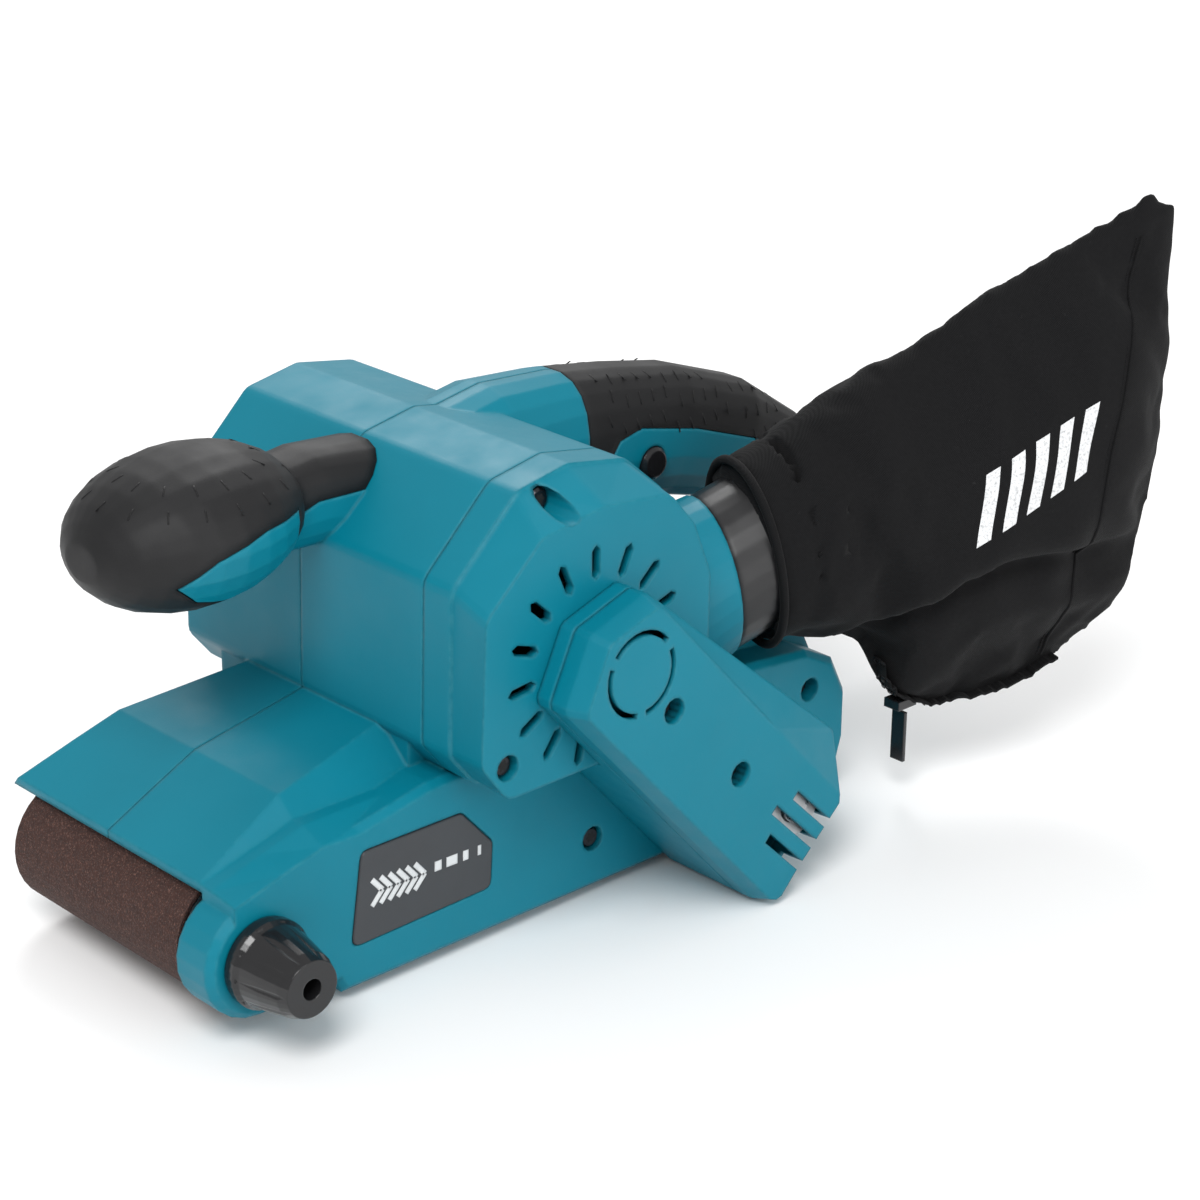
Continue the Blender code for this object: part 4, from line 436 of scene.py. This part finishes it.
# ---------------------------------------------------------------- dust bag
PORT = Vector((84.0, -47.0, 82.0)) * MM
BAG_WAY = Vector((math.cos(math.radians(20.0)), -math.sin(math.radians(20.0)), 0.0))
BAG_SIDE = Vector((BAG_WAY.y, -BAG_WAY.x, 0.0))
UP = Vector((0.0, 0.0, 1.0))
BAG_SLACK = 0.94                 # the shell starts this share of its full thickness
CLOTH_PITCH = 3.4 * MM           # even mesh size of the cloth
CLOTH_REACH = 7.0 * MM           # furthest that settling may move the cloth
ZIP_ALONG = (56.0, 118.0)        # mm behind the port
ZIP_HALF = 5.0 * MM
ZIP_TOOTH_PITCH = 0.9 * MM
ZIP_RISE = 0.9 * MM              # the tape sits this far into the cloth's lower edge
MOUTH_LEAN = 0.15                # the mouth leans back this much for each unit of height
BAG_STATIONS = (                 # mm behind the port: low edge, high edge, half thickness
    (11.5, 59.5, 115.0, 25.6), (16.0, 59.3, 117.5, 26.0), (24.0, 58.3, 121.0, 25.5),
    (36.0, 56.6, 128.5, 24.6), (47.0, 54.8, 135.0, 23.6), (53.0, 47.0, 139.0, 22.8),
    (60.0, 38.2, 142.5, 22.0), (70.0, 34.0, 148.0, 21.0), (84.0, 32.2, 155.0, 19.5),
    (100.0, 32.2, 162.5, 17.5), (116.0, 35.4, 170.5, 14.8), (130.0, 42.0, 177.0, 11.6),
    (140.0, 51.0, 181.5, 8.2), (147.0, 69.0, 182.5, 4.8), (151.5, 96.0, 177.0, 1.8))
FOLD = ((34.0, 60.5), (48.0, 64.3), (61.0, 70.2), (74.0, 77.0), (87.0, 80.4), (104.0, 80.1),
        (122.0, 78.0))           # mm behind the port, height: the upper lobe's lower edge
PRINT_START = 76.0 * MM
PRINT_PITCH = 8.6 * MM
PRINT_COUNT = 5
PRINT_RISE = 0.42
PRINT_FOOT = 67.5 * MM
PRINT_HALF = 9.5 * MM
PRINT_LEAN = 0.22


def bag_place(along, height, out=0.0):
    """A point in metres, given millimetres behind the port, height and distance to its left."""
    place = PORT + BAG_WAY * (along * MM) + BAG_SIDE * (out * MM)
    place.z = height * MM
    return place


def smooth_row(rows, share):
    """A Catmull-Rom value along rows of numbers, share from 0 to 1."""
    place = share * (len(rows) - 1)
    i = min(int(place), len(rows) - 2)
    t = place - i
    before, start, end, after = (rows[max(i - 1, 0)], rows[i], rows[i + 1],
                                 rows[min(i + 2, len(rows) - 1)])
    return [0.5 * (2 * b + (c - a) * t + (2 * a - 5 * b + 4 * c - d) * t * t
                   + (3 * b - a - 3 * c + d) * t ** 3)
            for a, b, c, d in zip(before, start, end, after)]


def bag_surface(thin=1.0, rings=64, facets=64):
    """Rings of points of the bag, from its mouth to its flat far seam."""
    result = []
    for i in range(rings + 1):
        along, low, high, half = smooth_row(BAG_STATIONS, i / rings)
        middle, reach = (low + high) / 2.0, (high - low) / 2.0
        flat = min(1.0, max(0.0, (along - 12.0) / 60.0))
        power = 2.05 - 0.25 * flat
        ring = []
        for k in range(facets):
            turn = 2.0 * math.pi * k / facets
            c, s = math.cos(turn), math.sin(turn)
            z = middle + reach * math.copysign(abs(s) ** (2.0 / power), s)
            out = half * thin * math.copysign(abs(c) ** (2.0 / power), c)
            lean = MOUTH_LEAN * (1.0 - flat) * (z - 88.0)
            ring.append(bag_place(along - lean, z, out))
        result.append(ring)
    return result


def fold_height(along):
    """Height of the fold across the bag's left side at a distance behind the port, in mm."""
    if along <= FOLD[0][0]:
        return FOLD[0][1]
    for (a, za), (b, zb) in zip(FOLD, FOLD[1:]):
        if along <= b:
            t = (along - a) / (b - a)
            t = t * t * (3.0 - 2.0 * t)
            return za + (zb - za) * t
    return FOLD[-1][1]


def inflate(piece, held, frames=16):
    """Lets the cloth settle under a light pressure and caps how far any point moves."""
    mesh = piece.data
    rest = [v.co.copy() for v in mesh.vertices]
    group = piece.vertex_groups.new(name="held")
    for i, co in enumerate(rest):
        grip = held(co)
        if grip > 0.0:
            group.add([i], grip, "REPLACE")
    cloth = piece.modifiers.new("cloth", "CLOTH")
    cloth.settings.quality = 6
    cloth.settings.mass = 0.25
    cloth.settings.tension_stiffness = 12.0
    cloth.settings.compression_stiffness = 6.0
    cloth.settings.shear_stiffness = 4.0
    cloth.settings.bending_stiffness = 0.35
    cloth.settings.use_pressure = True
    cloth.settings.uniform_pressure_force = 2.6
    cloth.settings.vertex_group_mass = "held"
    cloth.settings.shrink_min = -0.035
    cloth.settings.effector_weights.gravity = 0.0
    cloth.collision_settings.use_collision = False
    cloth.point_cache.frame_start = 1
    cloth.point_cache.frame_end = frames
    scene = bpy.context.scene
    for step in range(1, frames + 1):
        scene.frame_set(step)
        bpy.context.view_layer.update()
    settled = piece.evaluated_get(bpy.context.evaluated_depsgraph_get()).to_mesh()
    moved = [v.co.copy() for v in settled.vertices]
    piece.modifiers.remove(cloth)
    scene.frame_set(1)
    for vertex, old, new in zip(mesh.vertices, rest, moved):
        shift = new - old
        if shift.length > CLOTH_REACH:
            shift *= CLOTH_REACH / shift.length
        vertex.co = old + shift


def crease(piece):
    """Presses the fold and the slack wrinkles of the empty bag into its surface."""
    mesh = piece.data
    normals = [v.normal.copy() for v in mesh.vertices]
    for vertex, normal in zip(mesh.vertices, normals):
        co = vertex.co
        offset = co - PORT
        along = offset.dot(BAG_WAY) / MM
        side = offset.dot(BAG_SIDE) / MM
        z = co.z / MM
        depth = 0.0
        grip = min(1.0, max(0.0, (along - 16.0) / 16.0))
        if side > 0.0:
            below = fold_height(along) - z
            start = min(1.0, max(0.0, (along - 34.0) / 14.0))
            fade = min(1.0, max(0.0, (150.0 - along) / 50.0))
            step = 1.0 / (1.0 + math.exp(-below / 0.9))
            tuck = math.exp(-((below - 2.2) / 3.4) ** 2)
            swell = math.exp(-((below + 7.0) / 7.0) ** 2)
            recover = math.exp(-max(0.0, below) / 26.0)
            depth -= start * fade * (5.2 * step * recover + 2.2 * tuck)
            depth += start * fade * 1.8 * swell
        lower = math.exp(-((along - 26.0) / 7.0) ** 2 - ((z - 63.0) / 5.0) ** 2)
        depth -= 2.4 * lower
        slack = noise.noise(Vector((along * 0.022, z * 0.034, side * 0.03 + 5.0)))
        fine = noise.noise(Vector((along * 0.065, z * 0.052 + 3.0, side * 0.06)))
        run = noise.noise(Vector(((along + z * 0.5) * 0.050, (z - along * 0.9) * 0.016, 9.0)))
        depth += grip * (1.5 * slack + 0.7 * fine + 1.1 * run)
        vertex.co = co + normal * (depth * MM)


def meet_zip(piece):
    """Lets the lower edge down until the cloth hangs on the zip's slider."""
    low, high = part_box("zip_slider")
    middle = (Vector(low) + Vector(high)) / 2.0
    hit = surface_tree_of(piece).ray_cast(Vector((middle.x, middle.y, -0.01)), UP)[0]
    if hit is None:
        return
    drop = high[2] + 0.6 * MM - hit.z
    for vertex in piece.data.vertices:
        along = (vertex.co - PORT).dot(BAG_WAY) / MM
        near = math.exp(-((along - 76.0) / 30.0) ** 4)
        share = near * math.exp(-(max(0.0, vertex.co.z - hit.z) / 0.016) ** 2)
        vertex.co.z += drop * share


def keep_clear(piece, names, gap):
    """Moves the cloth out of the housing where a wrinkle would touch it."""
    tree = surface_tree(names)
    for vertex in piece.data.vertices:
        place, normal, _, away = tree.find_nearest(vertex.co, 0.012)
        if place is None:
            continue
        if (vertex.co - place).dot(normal) < gap:
            vertex.co = place + normal * gap


def build_bag(look):
    """The hanging dust bag: one lofted shell, settled as cloth, then folded."""
    rings = bag_surface(BAG_SLACK)
    facets = len(rings[0])
    points = [p for ring in rings for p in ring]
    faces = []
    for i in range(len(rings) - 1):
        for k in range(facets):
            n = (k + 1) % facets
            a, b = i * facets, (i + 1) * facets
            faces.append((a + k, a + n, b + n, b + k))
    faces.append(tuple(range(facets - 1, -1, -1)))
    faces.append(tuple((len(rings) - 1) * facets + k for k in range(facets)))
    bag = make_piece("bag_shell", points, faces, look, DUST)
    remesh = bag.modifiers.new("even", "REMESH")
    remesh.mode = "VOXEL"
    remesh.voxel_size = CLOTH_PITCH
    bake(bag)
    inflate(bag, mouth_hold)
    detail = bag.modifiers.new("smooth", "SUBSURF")
    detail.levels = detail.render_levels = 1
    bake(bag)
    crease(bag)
    meet_zip(bag)
    keep_clear(bag, ("housing_left", "housing_right", "rear_grip", "dust_collar"), 0.5 * MM)
    for face in bag.data.polygons:
        face.use_smooth = True
    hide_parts("dust_bag")
    return bag


def mouth_hold(co):
    """How firmly a point of the cloth is held: at the mouth and along the far seam."""
    along = (co - PORT).dot(BAG_WAY) / MM
    side = abs((co - PORT).dot(BAG_SIDE)) / MM
    if along < 26.0:
        return 1.0
    if side < 1.6:
        return 0.9
    return 0.0


def bake(piece):
    """Applies every modifier of a piece to its mesh."""
    graph = bpy.context.evaluated_depsgraph_get()
    bpy.context.view_layer.update()
    shaped = bpy.data.meshes.new_from_object(piece.evaluated_get(graph))
    piece.modifiers.clear()
    piece.data = shaped


def build_bag_hem(cloth_look):
    """The rolled hem round the bag's mouth."""
    vertices, faces = [], []
    hem = bag_surface(BAG_SLACK)[1]
    add_tube(vertices, faces, [p + BAG_WAY * (0.2 * MM) for p in hem], 1.35 * MM, 8, closed=True)
    trim = make_piece("bag_hem", vertices, faces, cloth_look, DUST)


def build_seam(cloth_look):
    """The turned seam just inside the far edge, sewn down with one line of stitches."""
    tree = surface_tree_of(bpy.data.objects["bag_shell"])
    vertices, faces = [], []
    path = []
    for share in range(41):
        t = share / 40.0
        along = 113.0 + 24.0 * t - 3.0 * math.sin(math.pi * t)
        z = 40.0 + 130.0 * t
        path.append(bag_place(along, z, 60.0))
    laid = []
    for point in path:
        hit = tree.ray_cast(point, -BAG_SIDE)
        if hit[0] is not None:
            laid.append(hit[0] + hit[1] * (0.15 * MM))
    add_tube(vertices, faces, laid, 0.55 * MM, 6)
    seam = make_piece("bag_seam", vertices, faces, cloth_look, DUST)
    stitches, stitch_faces = [], []
    for one, two in zip(laid, laid[1:]):
        way = (two - one)
        if way.length < 0.4 * MM:
            continue
        for k in (0.25, 0.75):
            centre = one + way * k - BAG_WAY * (1.6 * MM)
            add_block(stitches, stitch_faces, centre, way.normalized() * (0.75 * MM),
                      BAG_WAY * (0.16 * MM), BAG_SIDE * (0.25 * MM))
    row = make_piece("bag_stitches", stitches, stitch_faces, cloth_look, DUST)


def surface_tree_of(piece):
    mesh = piece.data
    return BVHTree.FromPolygons([v.co.copy() for v in mesh.vertices],
                                [tuple(f.vertices) for f in mesh.polygons])


def zip_line(height=0.0):
    """Points along the bag's lower edge from the zip's closed end to its far end."""
    tree = surface_tree_of(bpy.data.objects["bag_shell"])
    points = []
    for k in range(121):
        along = ZIP_ALONG[0] + (ZIP_ALONG[1] - ZIP_ALONG[0]) * k / 120.0
        hit = tree.ray_cast(bag_place(along, -10.0), UP)
        if hit[0] is not None:
            points.append(hit[0] - UP * height)
    return points


def build_zip(tape_look, tooth_look):
    """The zip's cloth tape, laid along the bag's lower edge, and its two rows of teeth."""
    points = zip_line(0.1 * MM)
    vertices, faces = [], []
    thick = 0.5 * MM
    for point in points:
        for side, drop in ((-1.0, -1.0), (1.0, -1.0), (1.0, 0.6), (-1.0, 0.6)):
            vertices.append(point + BAG_SIDE * (side * ZIP_HALF)
                            + UP * (drop * thick + ZIP_RISE))
    for i in range(len(points) - 1):
        for k in range(4):
            n = (k + 1) % 4
            faces.append((4 * i + k, 4 * i + n, 4 * i + 4 + n, 4 * i + 4 + k))
    faces.append((3, 2, 1, 0))
    last = 4 * (len(points) - 1)
    faces.append((last, last + 1, last + 2, last + 3))
    tape = make_piece("zip_band", vertices, faces, tape_look, DUST, smooth=False)
    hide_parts("zip_tape")
    build_zip_teeth(points, tooth_look)


def build_zip_teeth(points, look):
    vertices, faces = [], []
    travelled, next_tooth, side = 0.0, 0.0, 1.0
    for one, two in zip(points, points[1:]):
        step = two - one
        travelled += step.length
        if travelled < next_tooth:
            continue
        next_tooth = travelled + ZIP_TOOTH_PITCH
        side = -side
        way = step.normalized()
        add_block(vertices, faces, two + BAG_SIDE * (side * 0.55 * MM) - UP * (0.2 * MM),
                  way * (0.36 * MM), BAG_SIDE * (1.15 * MM), UP * (-0.5 * MM), 0.35)
    teeth = make_piece("zip_teeth", vertices, faces, look, DUST, smooth=False)


# ---------------------------------------------------------------- moulded details
def lay_mark(tree, point, way, out, long, wide, high, vertices, faces):
    """Adds one short raised dash where a ray from outside meets the surface."""
    hit, normal, _, _ = tree.ray_cast(point, out)
    if hit is None:
        return
    if normal.dot(out) > 0.0:
        normal = -normal
    way = (way - normal * way.dot(normal)).normalized()
    across = normal.cross(way)
    add_block(vertices, faces, hit + normal * (high * 0.15), way * long, across * wide,
              normal * high, 0.45)


def build_grip_dashes(look):
    """Rows of short moulded dashes on both sides of the rear grip, which stop a hand from
    slipping.
    """
    tree = surface_tree(("rear_grip",))
    low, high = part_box("rear_grip")
    vertices, faces = [], []
    top_rows = 3
    count = 15
    for side in (-1.0, 1.0):
        for row in range(top_rows):
            tilt = math.radians(28.0 + 24.0 * row)
            out = Vector((0.0, side * math.sin(tilt), math.cos(tilt)))
            for k in range(count):
                share = (k + 0.5 * (row % 2) + 0.5) / count
                x = low[0] + 0.006 + (high[0] - low[0] - 0.030) * share
                centre = handle_middle(x)
                lay_mark(tree, centre + out * 0.06, Vector((0.25, 0.0, -1.0)) if row > 1
                         else Vector((0.0, side, 0.0)), -out, 1.9 * MM, 0.26 * MM, 0.14 * MM,
                         vertices, faces)
    if vertices:
        make_piece("rear_grip_dashes", vertices, faces, look, ROOT)


def handle_middle(x):
    """The middle of the rear handle at a place along the machine."""
    mesh = frame["nodes"]["rear_grip"].data
    near = [v.co for v in mesh.vertices if abs(v.co.x - x) < 0.012]
    if not near:
        return Vector((x, 0.0, 0.1))
    top = max(p.z for p in near)
    return Vector((x, 0.0, top - 0.018))


def build_knob_dashes(look):
    """Rings of the same dashes round the front knob."""
    tree = surface_tree(("front_grip",))
    low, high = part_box("front_grip")
    centre = Vector(((low[0] + 0.033), 0.0, (low[2] + high[2]) / 2.0 + 0.002))
    vertices, faces = [], []
    for ring, level in enumerate((0.35, 0.65)):
        count = int(18 * math.cos(level))
        for k in range(count):
            turn = 2.0 * math.pi * (k + 0.5 * (ring % 2)) / count
            out = Vector((math.cos(turn) * math.cos(level), math.sin(turn) * math.cos(level),
                          math.sin(level)))
            lay_mark(tree, centre + out * 0.07, UP, -out, 1.8 * MM, 0.24 * MM, 0.12 * MM,
                     vertices, faces)
    make_piece("front_grip_dashes", vertices, faces, look, ROOT)


def build_label_print(look):
    """Plain bars and chevrons, in place of the wording that such a plate carries."""
    low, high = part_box("label_plate")
    y = low[1] - 0.05 * MM
    vertices, faces = [], []
    out = Vector((0.0, -1.0, 0.0))
    mesh = frame["nodes"]["label_plate"].data
    tree = surface_tree(("label_plate",))
    length, height = high[0] - low[0], high[2] - low[2]
    way = label_way(mesh)
    rise = out.cross(way)
    if rise.z < 0.0:
        rise = -rise
    centre = Vector(((low[0] + high[0]) / 2.0, y, (low[2] + high[2]) / 2.0))
    for k in range(6):
        for part in (-1.0, 1.0):
            place = centre + way * (length * (-0.33 + 0.060 * k)) + rise * (height * 0.07 * part)
            lean = (way * 0.9 + rise * -part).normalized()
            add_on_plate(tree, vertices, faces, place, lean, out, height * 0.10, height * 0.030)
    for k, share in enumerate((0.10, 0.16, 0.08, 0.05)):
        place = centre + way * (length * (0.10 + 0.10 * k)) + rise * (height * 0.03)
        add_on_plate(tree, vertices, faces, place, way, out, length * share * 0.25,
                     height * 0.055)
    make_piece("label_print", vertices, faces, look, ROOT, smooth=False)


def add_on_plate(tree, vertices, faces, place, way, out, long, wide):
    hit = tree.ray_cast(place + out * 0.02, -out)[0]
    if hit is None:
        return
    across = way.cross(out).normalized()
    add_block(vertices, faces, hit + out * (0.05 * MM), way * long, across * wide,
              out * (0.08 * MM), 0.1)


def label_way(mesh):
    """The label's long direction, from the shape of its outline."""
    points = [v.co for v in mesh.vertices]
    middle = sum(points, Vector()) / len(points)
    xx = sum((p.x - middle.x) ** 2 for p in points)
    zz = sum((p.z - middle.z) ** 2 for p in points)
    xz = sum((p.x - middle.x) * (p.z - middle.z) for p in points)
    turn = 0.5 * math.atan2(2.0 * xz, xx - zz)
    return Vector((math.cos(turn), 0.0, math.sin(turn)))


def build_screw_shade_sheet(name, look):
    """A six-lobed near-black sheet on a screw's head, which faces left: painted shade that stands
    in for the shaded hollow of its recess.
    """
    low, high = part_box(name)
    centre = Vector(((low[0] + high[0]) / 2.0, low[1] - 0.03 * MM, (low[2] + high[2]) / 2.0))
    outline = []
    for k in range(36):
        turn = 2.0 * math.pi * k / 36
        radius = (1.45 + 0.32 * math.cos(6.0 * turn)) * MM
        outline.append(centre + Vector((math.cos(turn) * radius, 0.0, math.sin(turn) * radius)))
    vertices = outline + [p + Vector((0.0, 0.03 * MM, 0.0)) for p in outline]
    faces = [tuple(range(36)), tuple(range(71, 35, -1))]
    faces += [(k, 36 + k, 36 + (k + 1) % 36, (k + 1) % 36) for k in range(36)]
    make_piece(f"{name}_recess", vertices, faces, look, ROOT, smooth=False)


# ---------------------------------------------------------------- the finish of the CAD nodes
def finish_cad_nodes(looks):
    """Gives every CAD node that stays its procedural material, by the record's slot."""
    slots = {part["node"]: part["material_slot"] for part in frame["record"]["subparts"]}
    for name, node in frame["nodes"].items():
        look = looks.get(name) or looks[slots[name]]
        node.data.materials.clear()
        node.data.materials.append(look)


def make_looks():
    satin = hard_plastic("satin_black", 0.34, grain=0.08, round_off=0.0025)
    return {
        "teal_plastic": teal_plastic(),
        "black_rubber": soft_rubber(),
        "gloss_black_plastic": hard_plastic("gloss_black", 0.12, grain=0.02),
        "satin_black_plastic": satin,
        "steel": metal("turned_steel", (0.50, 0.51, 0.52, 1.0), 0.30),
        "cast_aluminium": metal("cast_alloy", (0.58, 0.59, 0.60, 1.0), 0.42, (1.0, 1.0, 1.0), 0.3),
        "copper": metal("copper", (0.72, 0.33, 0.16, 1.0), 0.3),
        "brass": metal("brass", (0.70, 0.50, 0.22, 1.0), 0.32),
        "lamination_steel": metal("laminations", (0.28, 0.28, 0.29, 1.0), 0.45, (1.0, 60.0, 1.0)),
        "carbon": hard_plastic("carbon", 0.5, (0.02, 0.02, 0.02, 1.0), 0.2),
        "abrasive_cloth": abrasive(),
        "cork": hard_plastic("cork", 0.8, (0.26, 0.16, 0.09, 1.0), 0.4),
        "label_grey": hard_plastic("label_grey", 0.38, (0.030, 0.033, 0.038, 1.0), 0.05),
        "black_cloth": cloth("black_cloth"),
        "screws": metal("dark_screws", (0.05, 0.05, 0.055, 1.0), 0.35),
    }


def main():
    place_camera()
    light_stage()
    add_floor()
    looks = make_looks()
    printed = cloth("printed_cloth", stripes=True)
    build_bag(printed)
    build_bag_hem(looks["black_cloth"])
    build_seam(looks["black_cloth"])
    build_zip(looks["black_cloth"], looks["satin_black_plastic"])
    build_grip_dashes(looks["black_rubber"])
    build_knob_dashes(looks["black_rubber"])
    build_label_print(hard_plastic("label_print", 0.45, (0.62, 0.64, 0.65, 1.0), 0.02))
    # near-black painted shade for the inside of each screw recess, laid on as a flat sheet
    painted_recess_shade = hard_plastic("painted_recess_shade", 0.7, (0.004, 0.004, 0.004, 1.0), 0.05)
    for name in frame["nodes"]:
        if "screw_" in name and name != "tracking_screw":
            looks[name] = looks["screws"]
            build_screw_shade_sheet(name, painted_recess_shade)
    looks["zip_slider"] = looks["zip_pull"] = looks["gloss_black_plastic"]
    finish_cad_nodes(looks)


main()
